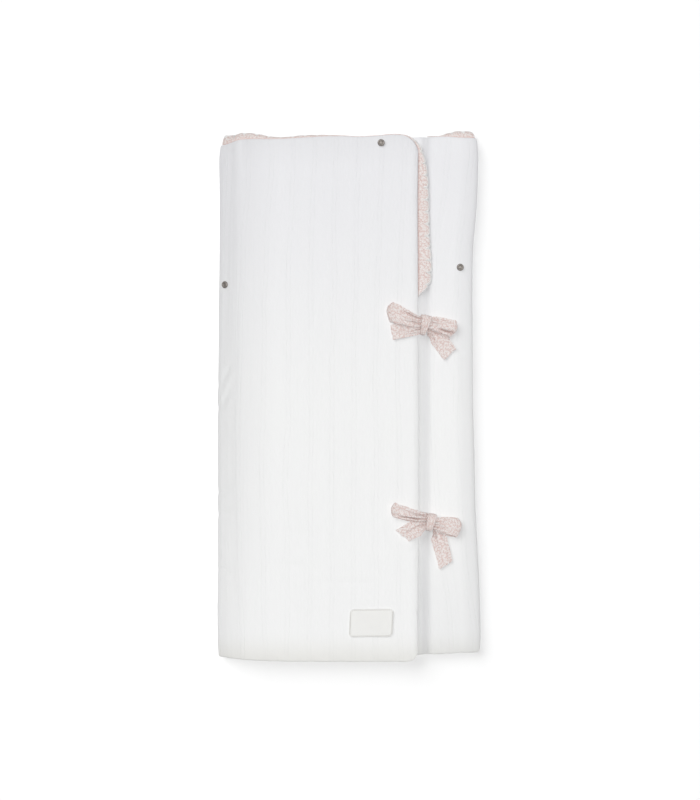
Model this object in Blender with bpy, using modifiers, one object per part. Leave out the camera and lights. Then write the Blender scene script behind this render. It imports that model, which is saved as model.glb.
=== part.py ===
"""A padded muslin swaddle blanket, folded lengthwise in three and closed with two ribbon bows.

+X is across the folded blanket, +Y along it towards the trimmed end and +Z up. The origin is on
the surface that the blanket lies on, under its middle. Lengths are in metres.
"""

import math
from collections import namedtuple

import bmesh
import bpy
from mathutils import Vector

MM = 0.001
NAME = "folded_swaddle_blanket"

# The padded cloth
LAYER = 11.0 * MM  # thickness of one padded layer
LAYER_GAP = 1.5 * MM  # air between two layers that lie on each other
SEAM_SHARE = 0.3  # share of the thickness that is left at the turned seam
SEAM_MARGIN = 16.0 * MM  # how far in from the seam the padding is back to full
CLEAR = 0.5 * MM  # gap between a sewn-on piece and what it lies on

# The letter fold: heights of the middle of each layer, and of the faces that show
BACK_Z = LAYER / 2
PANEL_Z = BACK_Z + LAYER + LAYER_GAP
FLAP_Z = PANEL_Z + LAYER + LAYER_GAP
PANEL_TOP = PANEL_Z + LAYER / 2
FLAP_TOP = FLAP_Z + LAYER / 2
FOLD_RADIUS = (PANEL_Z - BACK_Z) / 2  # of the middle of the cloth, at both folds
FOLD_REACH = FOLD_RADIUS + LAYER / 2  # from a fold's axis to its outer side
PANEL_HIDDEN_EDGE = -0.134  # X where the folded-in third ends, short of the left fold
RAMP_TILT = math.radians(33.0)  # slope on which the flap comes down to the left fold

# The long sides, from the bottom end (share 0) to the top end (share 1): X of the left fold's
# outer side, of the right fold's outer side and of the flap's free edge, and how far to each
# side the bend at the top of the slope reaches
BOTTOM_Y = -0.3712
TOP_Y = 0.3667
Side = namedtuple("Side", "share left right flap_edge bend")
SIDES = (
    Side(0.00, -0.1858, 0.1862, 0.0965, 0.0180),
    Side(0.15, -0.1848, 0.1836, 0.0970, 0.0180),
    Side(0.30, -0.1846, 0.1776, 0.0975, 0.0170),
    Side(0.60, -0.1836, 0.1742, 0.0970, 0.0100),
    Side(0.78, -0.1828, 0.1744, 0.0964, 0.0062),
    Side(0.88, -0.1820, 0.1802, 0.0962, 0.0050),
    Side(1.00, -0.1835, 0.1825, 0.0975, 0.0050),
)

# The two ends: Y of the top and bottom hem at places along the cloth's width, where 0 to 1 is
# the flap from its free edge, with its slope from RAMP_PLACE, 1 to 2 is the back and 2 to 3 is
# the folded-in third
RAMP_PLACE = 0.9
Hem = namedtuple("Hem", "place top bottom")
HEMS = (
    Hem(0.00, 0.3440, -0.3625),
    Hem(0.02, 0.3560, -0.3690),
    Hem(0.06, 0.3640, BOTTOM_Y),
    Hem(0.12, TOP_Y, BOTTOM_Y),
    Hem(0.21, 0.3650, BOTTOM_Y),
    Hem(0.30, 0.3637, BOTTOM_Y),
    Hem(0.39, 0.3645, BOTTOM_Y),
    Hem(0.50, 0.3640, BOTTOM_Y),
    Hem(0.72, 0.3606, -0.3708),
    Hem(0.90, 0.3600, -0.3690),
    Hem(1.00, 0.3540, -0.3660),
    Hem(1.20, 0.3580, -0.3630),
    Hem(1.80, 0.3590, -0.3610),
    Hem(2.00, 0.3640, -0.3600),
    Hem(2.06, 0.3655, -0.3612),
    Hem(2.20, 0.3645, -0.3630),
    Hem(2.50, 0.3590, -0.3640),
    Hem(3.00, 0.3570, -0.3640),
)

# Mesh steps of the cloth: shares of the seam margin, and steps along each stretch
MARGIN_SHARES = (0.0, 0.18, 0.5)
FLAP_STEPS = 9
RAMP_STEPS = 5
LEFT_FOLD_STEPS = 6
BACK_STEPS = 5
RIGHT_FOLD_STEPS = 6
PANEL_STEPS = 6
LENGTH_STEPS = 17

# The scalloped trim, sewn in the seam
TRIM_WIDTH = 17.0 * MM
TRIM_THICK = 1.0 * MM
TRIM_CLEAR = 1.35 * MM  # from the seam to the trim, room for the tilted edges of both
SCALLOP_PITCH = 17.0 * MM
SCALLOP_DEPTH = 3.5 * MM
SCALLOP_COLUMNS = 5  # mesh columns in one scallop
TRIM_ROWS = 2
TRIM_EDGE_RUN = 0.204  # how far the trim runs down the flap's free edge
TRIM_TAPER = 0.021  # length of its slanted lower end
TRIM_PANEL_SHARE = 0.155  # share of the folded-in third that has the right-hand trim
SEAM_SAMPLES = 40
CORNER_CROWDING = 1.5  # power that puts more of them at the flap's rounded corner
RAMP_SAMPLES = 8
FOLD_SAMPLES = 5

# How the trim lies at places along its seam, by the distance from its lower end or by the X of
# the seam: how far it stands out past the seam, and how far it bends down
Lie = namedtuple("Lie", "at out down")
TRIM_LIE_AT_FLAP_EDGE = (
    Lie(0.0000, 0.0000, 0.0000),
    Lie(TRIM_TAPER, TRIM_WIDTH, 0.0018),
    Lie(0.0900, 0.0160, 0.0018),
    Lie(0.1600, 0.0138, 0.0018),
    Lie(0.1850, 0.0108, 0.0016),
    Lie(TRIM_EDGE_RUN, 0.0052, 0.0010),
)
TRIM_LIE_ON_FLAP_TOP = (
    Lie(-0.1860, 0.0150, 0.0050),
    Lie(-0.1640, 0.0112, 0.0110),
    Lie(-0.1300, 0.0076, 0.0125),
    Lie(-0.1090, 0.0038, 0.0140),
    Lie(-0.0880, 0.0026, 0.0150),
    Lie(-0.0670, 0.0034, 0.0150),
    Lie(-0.0300, 0.0022, 0.0145),
    Lie(0.0000, 0.0006, 0.0140),
    Lie(0.0400, 0.0004, 0.0110),
    Lie(0.0600, 0.0008, 0.0080),
    Lie(0.0850, 0.0016, 0.0020),
    Lie(0.0930, 0.0028, 0.0014),
    Lie(0.0970, 0.0052, 0.0010),
)
TRIM_LIE_ON_PANEL_TOP = (
    Lie(0.1180, 0.0003, 0.0004),
    Lie(0.1270, 0.0008, 0.0050),
    Lie(0.1390, 0.0047, 0.0095),
    Lie(0.1520, 0.0088, 0.0108),
    Lie(0.1700, 0.0093, 0.0108),
    Lie(0.1790, 0.0076, 0.0090),
    Lie(0.1830, 0.0052, 0.0070),
)

# The bows. Each is two ribbons: the flap's has the knot, and the panel's is gathered beside it
RIBBON_THICK = 1.0 * MM
KNOT_Z = 31.5 * MM
Knot = namedtuple("Knot", "bow x y wide tall high")
KNOTS = (
    Knot("upper", 0.1058, 0.1000, 0.0126, 0.0300, 0.0130),
    Knot("lower", 0.1135, -0.1760, 0.0130, 0.0262, 0.0130),
)
GATHER_WIDE = 3.2 * MM  # the panel ribbon's gathered part
GATHER_SHARE = 0.9  # of the knot's length and height
KNOT_ROUND = 0.4  # rounding of a knot, as a share of its smallest side
ROOT_SINK = 2.0 * MM  # how far a loop or free end runs into the knot

# How high each side's ribbons leave the knot and come to lie, and how long they take
Rest = namedtuple("Rest", "side outward run loop_root loop_lie tail_root tail_lie")
RESTS = (
    Rest("flap", -1, 8 * MM, 34.6 * MM, FLAP_TOP + 2.2 * MM, 33.4 * MM, FLAP_TOP + 0.9 * MM),
    Rest("panel", 1, 15 * MM, 31.0 * MM, PANEL_TOP + 2.4 * MM, 28.5 * MM, PANEL_TOP + 0.9 * MM),
)

# Loops: the heading in degrees from +X, the widths at knot and tip, the tip's slant in degrees,
# how far the middle of the tip swells out, and the height between the two layers
Loop = namedtuple("Loop", "bow side root_y heading length root_wide tip_wide slant swell puff")
LOOPS = (
    Loop("upper", "flap", 0.1050, 162.4, 0.0445, 0.012, 0.027, 9.2, 0.006, 0.0075),
    Loop("upper", "panel", 0.1025, -10.4, 0.036, 0.015, 0.024, -12.0, 0.005, 0.0090),
    Loop("lower", "flap", -0.1680, 167.5, 0.048, 0.010, 0.019, 7.0, 0.003, 0.0060),
    Loop("lower", "panel", -0.1790, -5.9, 0.034, 0.015, 0.026, 0.0, 0.005, 0.0085),
)
LOOP_ROOT_GAP = 2.4 * MM  # between the two layers where they meet the knot
LOOP_TURN = (0.28, 0.72)  # stretch of the loop in which it turns from the lower to the upper layer
LOOP_STEPS = 20

# Free ends: the same, with the slant of the cut
Tail = namedtuple("Tail", "bow side root_y heading length root_wide tip_wide slant")
TAILS = (
    Tail("upper", "flap", 0.0955, 187.6, 0.0402, 0.010, 0.019, -23.6),
    Tail("upper", "panel", 0.0915, -45.8, 0.0449, 0.011, 0.0225, -2.6),
    Tail("lower", "flap", -0.1800, 203.0, 0.037, 0.010, 0.024, 28.0),
    Tail("lower", "panel", -0.1850, -71.1, 0.0540, 0.016, 0.0215, 10.0),
)
TAIL_STEPS = 6
RIBBON_COLUMNS = 3
GATHERED_SHARE = 0.6  # share of a ribbon's length over which it opens out to its full width
STRAIGHT_SHARE = 0.3  # share of its length in which it still leaves the knot squarely

# The ring snaps: a turned cap with a sunk middle
SNAP_RADIUS = 5.0 * MM
SNAP_HOLE = 2.1 * MM
SNAP_HEIGHT = 1.6 * MM
SNAP_FLOOR = 0.5 * MM  # thickness of the sunk middle
SNAP_STEPS = 20
LEFT_SNAP_AXIS = -0.1833 + FOLD_REACH  # X of the left fold's axis beside the left snap
LEFT_SNAP_UPHILL = 4.4 * MM  # how far up the slope it sits, from the end of the fold
LEFT_SNAP_X = (
    LEFT_SNAP_AXIS
    - (FOLD_REACH + CLEAR) * math.sin(RAMP_TILT)
    + LEFT_SNAP_UPHILL * math.cos(RAMP_TILT)
)
LEFT_SNAP_Z = (
    BACK_Z
    + FOLD_RADIUS
    + (FOLD_REACH + CLEAR) * math.cos(RAMP_TILT)
    + LEFT_SNAP_UPHILL * math.sin(RAMP_TILT)
)
Snap = namedtuple("Snap", "name x y z lean")
SNAPS = (
    Snap("snap_top", 0.0449, 0.3546, FLAP_TOP + CLEAR, 0.0),
    Snap("snap_right", 0.1561, 0.1813, PANEL_TOP + CLEAR, 0.0),
    Snap("snap_left", LEFT_SNAP_X, 0.1569, LEFT_SNAP_Z, RAMP_TILT),
)

# The label patch
LABEL_WIDE = 61.0 * MM
LABEL_TALL = 39.0 * MM
LABEL_THICK = 1.0 * MM
LABEL_CORNER = 6.0 * MM
LABEL_CORNER_STEPS = 5
LABEL_X = 0.0310
LABEL_Y = -0.3163
LABEL_TURN = 0.6  # degrees

Paint = namedtuple("Paint", "name color rough metal")
MUSLIN = Paint("white_muslin", (0.88, 0.88, 0.87), 0.9, 0.0)
PRINT = Paint("pink_floral_cotton", (0.83, 0.70, 0.67), 0.8, 0.0)
METAL = Paint("snap_metal", (0.42, 0.40, 0.38), 0.35, 1.0)
PATCH = Paint("label_cloth", (0.85, 0.85, 0.82), 0.8, 0.0)


# ---- Helpers --------------------------------------------------------------------------------


def clear_scene():
    for thing in list(bpy.data.objects):
        bpy.data.objects.remove(thing, do_unlink=True)


def new_collection(name):
    group = bpy.data.collections.new(name)
    bpy.context.scene.collection.children.link(group)
    return group


def paint_object(thing, paint):
    """Gives an object a material of its own."""
    material = bpy.data.materials.new(f"{thing.name}_{paint.name}")
    material.use_nodes = True
    shader = material.node_tree.nodes["Principled BSDF"]
    shader.inputs["Base Color"].default_value = (*paint.color, 1.0)
    shader.inputs["Roughness"].default_value = paint.rough
    shader.inputs["Metallic"].default_value = paint.metal
    thing.data.materials.append(material)


def object_from(mesh, name, group):
    """Turns a bmesh into an object of the group."""
    data = bpy.data.meshes.new(name)
    mesh.to_mesh(data)
    mesh.free()
    data.shade_smooth()
    thing = bpy.data.objects.new(name, data)
    group.objects.link(thing)
    return thing


def object_from_grid(points, name, group):
    """Turns rows of points into an open surface."""
    rows = len(points) - 1
    columns = len(points[0]) - 1
    mesh = bmesh.new()
    bmesh.ops.create_grid(mesh, x_segments=columns, y_segments=rows, size=0.5)
    for vert in mesh.verts:
        column = round((vert.co.x + 0.5) * columns)
        row = round((vert.co.y + 0.5) * rows)
        vert.co = points[row][column]
    return object_from(mesh, name, group)


def thicken(thing, thickness):
    sheet = thing.modifiers.new("sheet", "SOLIDIFY")
    sheet.thickness = thickness
    sheet.offset = 0.0
    return sheet


def ease(value):
    """Runs from 0 to 1 with a soft start and a soft stop."""
    value = min(1.0, max(0.0, value))
    return value * value * (3 - 2 * value)


def read(rows, key, column, at):
    """Reads one column of a table on the smooth curve through its rows."""
    places = [getattr(row, key) for row in rows]
    values = [getattr(row, column) for row in rows]
    if at <= places[0]:
        return values[0]
    if at >= places[-1]:
        return values[-1]
    part = max(i for i in range(len(rows) - 1) if places[i] <= at)
    step = places[part + 1] - places[part]
    share = (at - places[part]) / step

    def slope(i):
        before = max(0, i - 1)
        after = min(len(rows) - 1, i + 1)
        return (values[after] - values[before]) / (places[after] - places[before])

    rise = (values[part + 1] - values[part]) * ease(share)
    leave = share * (1 - share) ** 2 * step * slope(part)
    arrive = share**2 * (share - 1) * step * slope(part + 1)
    return values[part] + rise + leave + arrive


def spread(start, end, steps):
    return [start + (end - start) * i / steps for i in range(steps + 1)]


# ---- The padded blanket ---------------------------------------------------------------------


def cloth_stations():
    """Places along the cloth's width, each a stretch of the letter fold and a share of it."""
    flap_margin = SEAM_MARGIN / (SIDES[0].flap_edge - SIDES[0].left - FOLD_REACH)
    panel_margin = SEAM_MARGIN / (SIDES[0].right - PANEL_HIDDEN_EDGE)
    stations = [("flap", share * flap_margin) for share in MARGIN_SHARES]
    stations += [("flap", share) for share in spread(flap_margin, 1.0, FLAP_STEPS)]
    stations += [("ramp", share) for share in spread(0.0, 1.0, RAMP_STEPS)[1:]]
    stations += [("left_fold", share) for share in spread(0.0, 1.0, LEFT_FOLD_STEPS)[1:-1]]
    stations += [("back", share) for share in spread(0.0, 1.0, BACK_STEPS)]
    stations += [("right_fold", share) for share in spread(0.0, 1.0, RIGHT_FOLD_STEPS)[1:-1]]
    stations += [("panel", share) for share in spread(0.0, 1.0 - panel_margin, PANEL_STEPS)]
    stations += [("panel", 1.0 - share * panel_margin) for share in reversed(MARGIN_SHARES)]
    return stations


def ramp_drop(distance, bend):
    """How far the slope has come down, at a distance past its top, with a rounded start."""
    if distance <= -bend:
        return 0.0
    if distance >= bend:
        return distance * math.tan(RAMP_TILT)
    return (distance + bend) ** 2 / (4 * bend) * math.tan(RAMP_TILT)


def fold_point(stretch, share, along):
    """X and Z of the middle of the cloth at one place of the letter fold."""
    left_axis = read(SIDES, "share", "left", along) + FOLD_REACH
    right_axis = read(SIDES, "share", "right", along) - FOLD_REACH
    axis_z = BACK_Z + FOLD_RADIUS
    if stretch == "back":
        return left_axis + (right_axis - left_axis) * share, BACK_Z
    if stretch == "panel":
        return right_axis + (PANEL_HIDDEN_EDGE - right_axis) * share, PANEL_Z
    if stretch == "right_fold":
        turn = math.pi * (share - 0.5)
        return right_axis + FOLD_RADIUS * math.cos(turn), axis_z + FOLD_RADIUS * math.sin(turn)
    if stretch == "left_fold":
        turn = math.pi / 2 + RAMP_TILT + (math.pi - RAMP_TILT) * share
        return left_axis + FOLD_RADIUS * math.cos(turn), axis_z + FOLD_RADIUS * math.sin(turn)
    ramp_end = left_axis - FOLD_RADIUS * math.sin(RAMP_TILT)
    ramp_height = FLAP_Z - axis_z - FOLD_RADIUS * math.cos(RAMP_TILT)
    ramp_top = ramp_end + ramp_height / math.tan(RAMP_TILT)
    bend = read(SIDES, "share", "bend", along)
    if stretch == "flap":
        edge = read(SIDES, "share", "flap_edge", along)
        return edge + (ramp_top + bend - edge) * share, FLAP_Z
    x = ramp_top + bend + (ramp_end - ramp_top - bend) * share
    return x, FLAP_Z - ramp_drop(ramp_top - x, bend)


def hem_y(stretch, share, end):
    """Y of the top or bottom hem at one place of the letter fold."""
    place = {
        "flap": RAMP_PLACE * share,
        "ramp": RAMP_PLACE + (1.0 - RAMP_PLACE) * share,
        "left_fold": 1.0,
        "back": 1.0 + share,
        "right_fold": 2.0,
        "panel": 2.0 + share,
    }
    return read(HEMS, "place", end, place[stretch])


def length_share_at(y):
    return (y - BOTTOM_Y) / (TOP_Y - BOTTOM_Y)


def length_places(bottom, top):
    """Y of the mesh rows between the two hems, closer together in the seam margins."""
    margins = [SEAM_MARGIN * share for share in MARGIN_SHARES]
    places = [bottom + margin for margin in margins]
    places += spread(bottom + SEAM_MARGIN, top - SEAM_MARGIN, LENGTH_STEPS)
    places += [top - margin for margin in reversed(margins)]
    return places


def padding(distance):
    """Share of the full thickness at a distance from the seam, round like a filled edge."""
    inner = 1.0 - min(1.0, max(0.0, distance / SEAM_MARGIN))
    return SEAM_SHARE + (1.0 - SEAM_SHARE) * math.sqrt(1.0 - inner**2)


def sink(distance):
    """How much lower the middle lies near a seam, as the underside stays level."""
    return LAYER * (1.0 - padding(distance)) / 2


def make_blanket(group):
    columns = []
    thickness = []
    for stretch, share in cloth_stations():
        bottom = hem_y(stretch, share, "bottom")
        top = hem_y(stretch, share, "top")
        column = []
        for y in length_places(bottom, top):
            along = length_share_at(y)
            x, z = fold_point(stretch, share, along)
            to_seam = min(y - bottom, top - y)
            if stretch in ("flap", "ramp"):
                to_seam = min(to_seam, fold_point("flap", 0.0, along)[0] - x)
            elif stretch == "panel":
                to_seam = min(to_seam, x - PANEL_HIDDEN_EDGE)
            column.append(Vector((x, y, z - sink(to_seam))))
            thickness.append(padding(to_seam))
        columns.append(column)
    blanket = object_from_grid(columns, "blanket", group)
    filled = blanket.vertex_groups.new(name="padding")
    for index, weight in enumerate(thickness):
        filled.add([index], weight, "REPLACE")
    sheet = thicken(blanket, LAYER)
    sheet.vertex_group = filled.name
    sheet.thickness_vertex_group = 0.0
    paint_object(blanket, MUSLIN)


# ---- The scalloped trim ---------------------------------------------------------------------

Seam = namedtuple("Seam", "point out down")
DOWN = Vector((0, 0, -1))
UP_THE_CLOTH = Vector((0, 1, 0))


def even_seam(seam):
    """The seam at even steps, as pairs of the distance along it and the place."""
    lengths = [0.0]
    for before, after in zip(seam, seam[1:]):
        lengths.append(lengths[-1] + (after.point - before.point).length)
    step = SCALLOP_PITCH / SCALLOP_COLUMNS
    run = []
    part = 0
    for i in range(int(lengths[-1] / step) + 1):
        at = i * step
        while part < len(seam) - 2 and lengths[part + 1] < at:
            part += 1
        share = (at - lengths[part]) / (lengths[part + 1] - lengths[part])
        ends = zip(seam[part], seam[part + 1])
        run.append((at, Seam(*(low.lerp(high, share) for low, high in ends))))
    return run


def make_trim(group, name, seam, lie_at):
    """A strip that leaves the seam straight out and bends down, with a scalloped free edge."""
    rows = [[] for _ in range(TRIM_ROWS + 1)]
    for at, place in even_seam(seam):
        reach, drop = lie_at(at, place.point)
        dip = 1.0 - abs(math.sin(math.pi * at / SCALLOP_PITCH))
        full = 1.0 - dip * SCALLOP_DEPTH / TRIM_WIDTH
        for row in range(TRIM_ROWS + 1):
            share = row / TRIM_ROWS * full
            across = TRIM_CLEAR + reach * math.sin(math.pi / 2 * share)
            bent = place.down.normalized() * (drop * share * share)
            rows[row].append(place.point + place.out.normalized() * across + bent)
    trim = object_from_grid(rows, name, group)
    thicken(trim, TRIM_THICK)
    paint_object(trim, PRINT)


def top_hem_place(stretch, share):
    x, z = fold_point(stretch, share, 1.0)
    return Vector((x, hem_y(stretch, share, "top"), z - sink(0.0)))


def fold_seam(stretch, shares):
    """The top seam over a bend, where the trim turns in towards the layers below."""
    seam = []
    for share in shares:
        before = fold_point(stretch, share - 0.01, 1.0)
        after = fold_point(stretch, share + 0.01, 1.0)
        inward = Vector((before[1] - after[1], 0, after[0] - before[0])).normalized()
        seam.append(Seam(top_hem_place(stretch, share), UP_THE_CLOTH, inward))
    return seam


def flap_seam():
    """Up the flap's free edge, round its corner and along its top to the middle of the fold."""
    corner_y = hem_y("flap", 0.0, "top")
    seam = []
    for y in spread(corner_y - TRIM_EDGE_RUN, corner_y, SEAM_SAMPLES):
        edge, z = fold_point("flap", 0.0, length_share_at(y))
        seam.append(Seam(Vector((edge, y, z - sink(0.0))), Vector((1, 0, 0)), DOWN))
    for step in spread(0.0, 1.0, SEAM_SAMPLES)[1:]:
        point = top_hem_place("flap", step**CORNER_CROWDING)
        along = point - seam[-1].point
        seam.append(Seam(point, Vector((along.y, -along.x, 0)).normalized(), DOWN))
    seam += fold_seam("ramp", spread(0.0, 1.0, RAMP_SAMPLES)[1:-1])
    return seam + fold_seam("left_fold", spread(0.0, 0.4, FOLD_SAMPLES))


def panel_seam():
    """Along the top of the folded-in third to the middle of the right fold."""
    shares = spread(TRIM_PANEL_SHARE, 0.0, SEAM_SAMPLES)
    seam = [Seam(top_hem_place("panel", share), UP_THE_CLOTH, DOWN) for share in shares]
    return seam + fold_seam("right_fold", spread(1.0, 0.5, FOLD_SAMPLES)[1:])


def make_trims(group):
    def read_lie(rows, at):
        return read(rows, "at", "out", at), read(rows, "at", "down", at)

    def flap_lie(at, point):
        if at <= TRIM_EDGE_RUN:
            return read_lie(TRIM_LIE_AT_FLAP_EDGE, at)
        return read_lie(TRIM_LIE_ON_FLAP_TOP, point.x)

    def panel_lie(at, point):
        return read_lie(TRIM_LIE_ON_PANEL_TOP, point.x)

    make_trim(group, "trim_flap", flap_seam(), flap_lie)
    make_trim(group, "trim_right", panel_seam(), panel_lie)


# ---- The bows -------------------------------------------------------------------------------


def row_for(rows, **wanted):
    """The one row of a table whose named columns have these values."""
    return next(row for row in rows if all(getattr(row, key) == wanted[key] for key in wanted))


def ribbon_row(piece, share, width, slant, z, swell=0.0):
    """A line across a ribbon, a share of the way out from its knot."""
    knot = row_for(KNOTS, bow=piece.bow)
    outward = row_for(RESTS, side=piece.side).outward
    heading = math.radians(piece.heading)
    ahead = Vector((math.cos(heading), math.sin(heading), 0))
    root = Vector((knot.x + outward * (knot.wide / 2 - ROOT_SINK), piece.root_y, z))
    near = root + Vector((outward * STRAIGHT_SHARE * piece.length, 0, 0))
    far = root + ahead * piece.length
    middle = root * (1 - share) ** 2 + near * (2 * share * (1 - share)) + far * share**2
    square = math.pi / 2
    wanted = heading + outward * math.pi / 2 + math.radians(slant)
    turn = square + (wanted - square) * ease(share)
    cross = Vector((math.cos(turn), math.sin(turn), 0))
    row = []
    for across in spread(-1.0, 1.0, RIBBON_COLUMNS):
        rounded = ahead * (swell * (1 - across * across))
        row.append(middle + cross * (across * width / 2) + rounded)
    return row


def settle(piece, share, root_z, lie_z):
    """Height of a ribbon that leaves the knot at root_z and comes to lie at lie_z."""
    run = row_for(RESTS, side=piece.side).run
    return root_z + (lie_z - root_z) * ease(share * piece.length / run)


def loop_rows(loop):
    """Out along the lower layer, round the tip and back along the upper one."""
    rest = row_for(RESTS, side=loop.side)
    turn_start, turn_end = LOOP_TURN
    rows = []
    for along in spread(0.0, 1.0, LOOP_STEPS):
        open_out = math.sin(math.pi * along)
        share = open_out**0.85
        opened = ease(share / GATHERED_SHARE)
        between = LOOP_ROOT_GAP + (loop.puff - LOOP_ROOT_GAP) * opened
        upper = ease((along - turn_start) / (turn_end - turn_start))
        z = settle(loop, share, rest.loop_root, rest.loop_lie) + upper * between
        width = loop.root_wide + (loop.tip_wide - loop.root_wide) * open_out**0.7
        rows.append(ribbon_row(loop, share, width, loop.slant, z, loop.swell * open_out**4))
    return rows


def tail_rows(tail):
    """From the knot out to the cut end."""
    rest = row_for(RESTS, side=tail.side)
    rows = []
    for share in spread(0.0, 1.0, TAIL_STEPS):
        z = settle(tail, share, rest.tail_root, rest.tail_lie)
        width = tail.root_wide + (tail.tip_wide - tail.root_wide) * ease(share / GATHERED_SHARE)
        rows.append(ribbon_row(tail, share, width, tail.slant, z))
    return rows


def make_lump(group, name, size, place):
    """A rounded block: the gathered cloth of a knot."""
    mesh = bmesh.new()
    bmesh.ops.create_cube(mesh, size=1.0)
    bmesh.ops.scale(mesh, vec=size, verts=mesh.verts)
    lump = object_from(mesh, name, group)
    lump.location = place
    rounding = lump.modifiers.new("rounded", "BEVEL")
    rounding.width = min(size) * KNOT_ROUND
    rounding.segments = 3
    return lump


def join_to(lump, piece):
    """Sews a ribbon piece to the lump that gathers it."""
    piece.hide_render = True
    piece.display_type = "WIRE"
    union = lump.modifiers.new(f"with_{piece.name}", "BOOLEAN")
    union.operation = "UNION"
    union.solver = "EXACT"
    union.object = piece


def make_ribbon(group, cutters, knot, side):
    """One ribbon of a bow: its gathered part with its loop and its free end."""
    rest = row_for(RESTS, side=side)
    size = Vector((knot.wide - GATHER_WIDE - CLEAR, knot.tall, knot.high))
    if side == "panel":
        size = Vector((GATHER_WIDE, knot.tall * GATHER_SHARE, knot.high * GATHER_SHARE))
    middle = knot.x + rest.outward * (knot.wide - size.x) / 2
    lump = make_lump(group, f"tie_{side}_{knot.bow}", size, (middle, knot.y, KNOT_Z))
    loop = loop_rows(row_for(LOOPS, bow=knot.bow, side=side))
    tail = tail_rows(row_for(TAILS, bow=knot.bow, side=side))
    for part, rows in (("loop", loop), ("tail", tail)):
        piece = object_from_grid(rows, f"{part}_{side}_{knot.bow}", cutters)
        thicken(piece, RIBBON_THICK)
        join_to(lump, piece)
    paint_object(lump, PRINT)


# ---- Snaps and label ------------------------------------------------------------------------


def make_snap(group, place):
    """A ring cap with a sunk middle, turned from its half profile."""
    profile = (
        (0.0, SNAP_FLOOR),
        (SNAP_HOLE, SNAP_FLOOR),
        (SNAP_HOLE + 0.5 * MM, SNAP_HEIGHT * 0.9),
        (SNAP_HOLE + 1.2 * MM, SNAP_HEIGHT),
        (SNAP_RADIUS - 0.6 * MM, SNAP_HEIGHT * 0.7),
        (SNAP_RADIUS, SNAP_HEIGHT * 0.25),
        (SNAP_RADIUS - 0.1 * MM, 0.0),
        (0.0, 0.0),
    )
    mesh = bmesh.new()
    verts = [mesh.verts.new((radius, 0.0, height)) for radius, height in profile]
    for upper, lower in zip(verts, verts[1:]):
        mesh.edges.new((upper, lower))
    snap = object_from(mesh, place.name, group)
    turned = snap.modifiers.new("turned", "SCREW")
    turned.axis = "Z"
    turned.angle = 2 * math.pi
    turned.steps = SNAP_STEPS
    turned.render_steps = SNAP_STEPS
    turned.use_merge_vertices = True
    turned.merge_threshold = 0.01 * MM
    snap.location = (place.x, place.y, place.z)
    snap.rotation_euler = (0.0, -place.lean, 0.0)
    paint_object(snap, METAL)


def make_label(group):
    """A flat patch with rounded corners, turned a little from square."""
    mesh = bmesh.new()
    bmesh.ops.create_cube(mesh, size=1.0)
    bmesh.ops.scale(mesh, vec=(LABEL_WIDE, LABEL_TALL, LABEL_THICK), verts=mesh.verts)
    upright = [edge for edge in mesh.edges if edge.verts[0].co.z * edge.verts[1].co.z < 0]
    bmesh.ops.bevel(
        mesh,
        geom=upright,
        offset=LABEL_CORNER,
        segments=LABEL_CORNER_STEPS,
        profile=0.5,
        affect="EDGES",
    )
    label = object_from(mesh, "label_patch", group)
    label.location = (LABEL_X, LABEL_Y, FLAP_TOP + CLEAR + LABEL_THICK / 2)
    label.rotation_euler = (0.0, 0.0, math.radians(LABEL_TURN))
    paint_object(label, PATCH)


def main():
    clear_scene()
    group = new_collection(NAME)
    cutters = new_collection("ribbon_pieces")
    make_blanket(group)
    make_trims(group)
    for knot in KNOTS:
        for side in ("flap", "panel"):
            make_ribbon(group, cutters, knot, side)
    for place in SNAPS:
        make_snap(group, place)
    make_label(group)


main()
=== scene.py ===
# %% [markdown]
# # A folded baby swaddle blanket
# The blanket is white cotton muslin, lightly padded and sewn all round. It is folded lengthwise
# in three like a letter: the back lies on the table, the right third is folded in over it, and
# the left third, called the flap here, closes over both. A scalloped strip of printed cotton is
# sewn in its seam, and two printed ribbon bows hold it shut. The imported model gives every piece
# its place, so the first step loads it. All lengths are in metres.

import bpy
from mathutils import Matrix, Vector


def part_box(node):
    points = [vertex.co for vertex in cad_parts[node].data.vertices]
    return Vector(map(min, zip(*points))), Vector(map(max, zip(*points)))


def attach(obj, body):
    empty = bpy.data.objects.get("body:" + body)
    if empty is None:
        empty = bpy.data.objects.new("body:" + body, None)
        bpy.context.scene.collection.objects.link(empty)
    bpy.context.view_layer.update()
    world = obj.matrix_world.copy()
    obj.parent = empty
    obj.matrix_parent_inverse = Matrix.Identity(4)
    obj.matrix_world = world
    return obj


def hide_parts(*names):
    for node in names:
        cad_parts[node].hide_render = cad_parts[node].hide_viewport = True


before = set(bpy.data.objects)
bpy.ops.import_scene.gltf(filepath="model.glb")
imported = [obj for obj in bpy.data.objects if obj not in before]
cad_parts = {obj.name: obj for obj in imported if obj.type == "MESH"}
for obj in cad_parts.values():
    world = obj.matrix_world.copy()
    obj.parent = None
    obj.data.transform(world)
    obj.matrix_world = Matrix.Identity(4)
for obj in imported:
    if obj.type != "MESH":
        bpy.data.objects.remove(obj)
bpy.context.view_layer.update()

# %% Tools used by every step
import math
from collections import namedtuple

import bmesh
import bpy
import numpy as np
from mathutils import Vector, noise

scene = bpy.context.scene
MM = 0.001


def ease(value, start=0.0, end=1.0):
    """Runs from 0 to 1 between two values, with a soft start and a soft stop."""
    share = min(1.0, max(0.0, (value - start) / (end - start)))
    return share * share * (3 - 2 * share)


def mix(first, second, share):
    """A value that is a share of the way from the first to the second."""
    return first + (second - first) * share


def spread(start, end, steps):
    """Evenly spaced values, both ends among them."""
    return [start + (end - start) * i / steps for i in range(steps + 1)]


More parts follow.
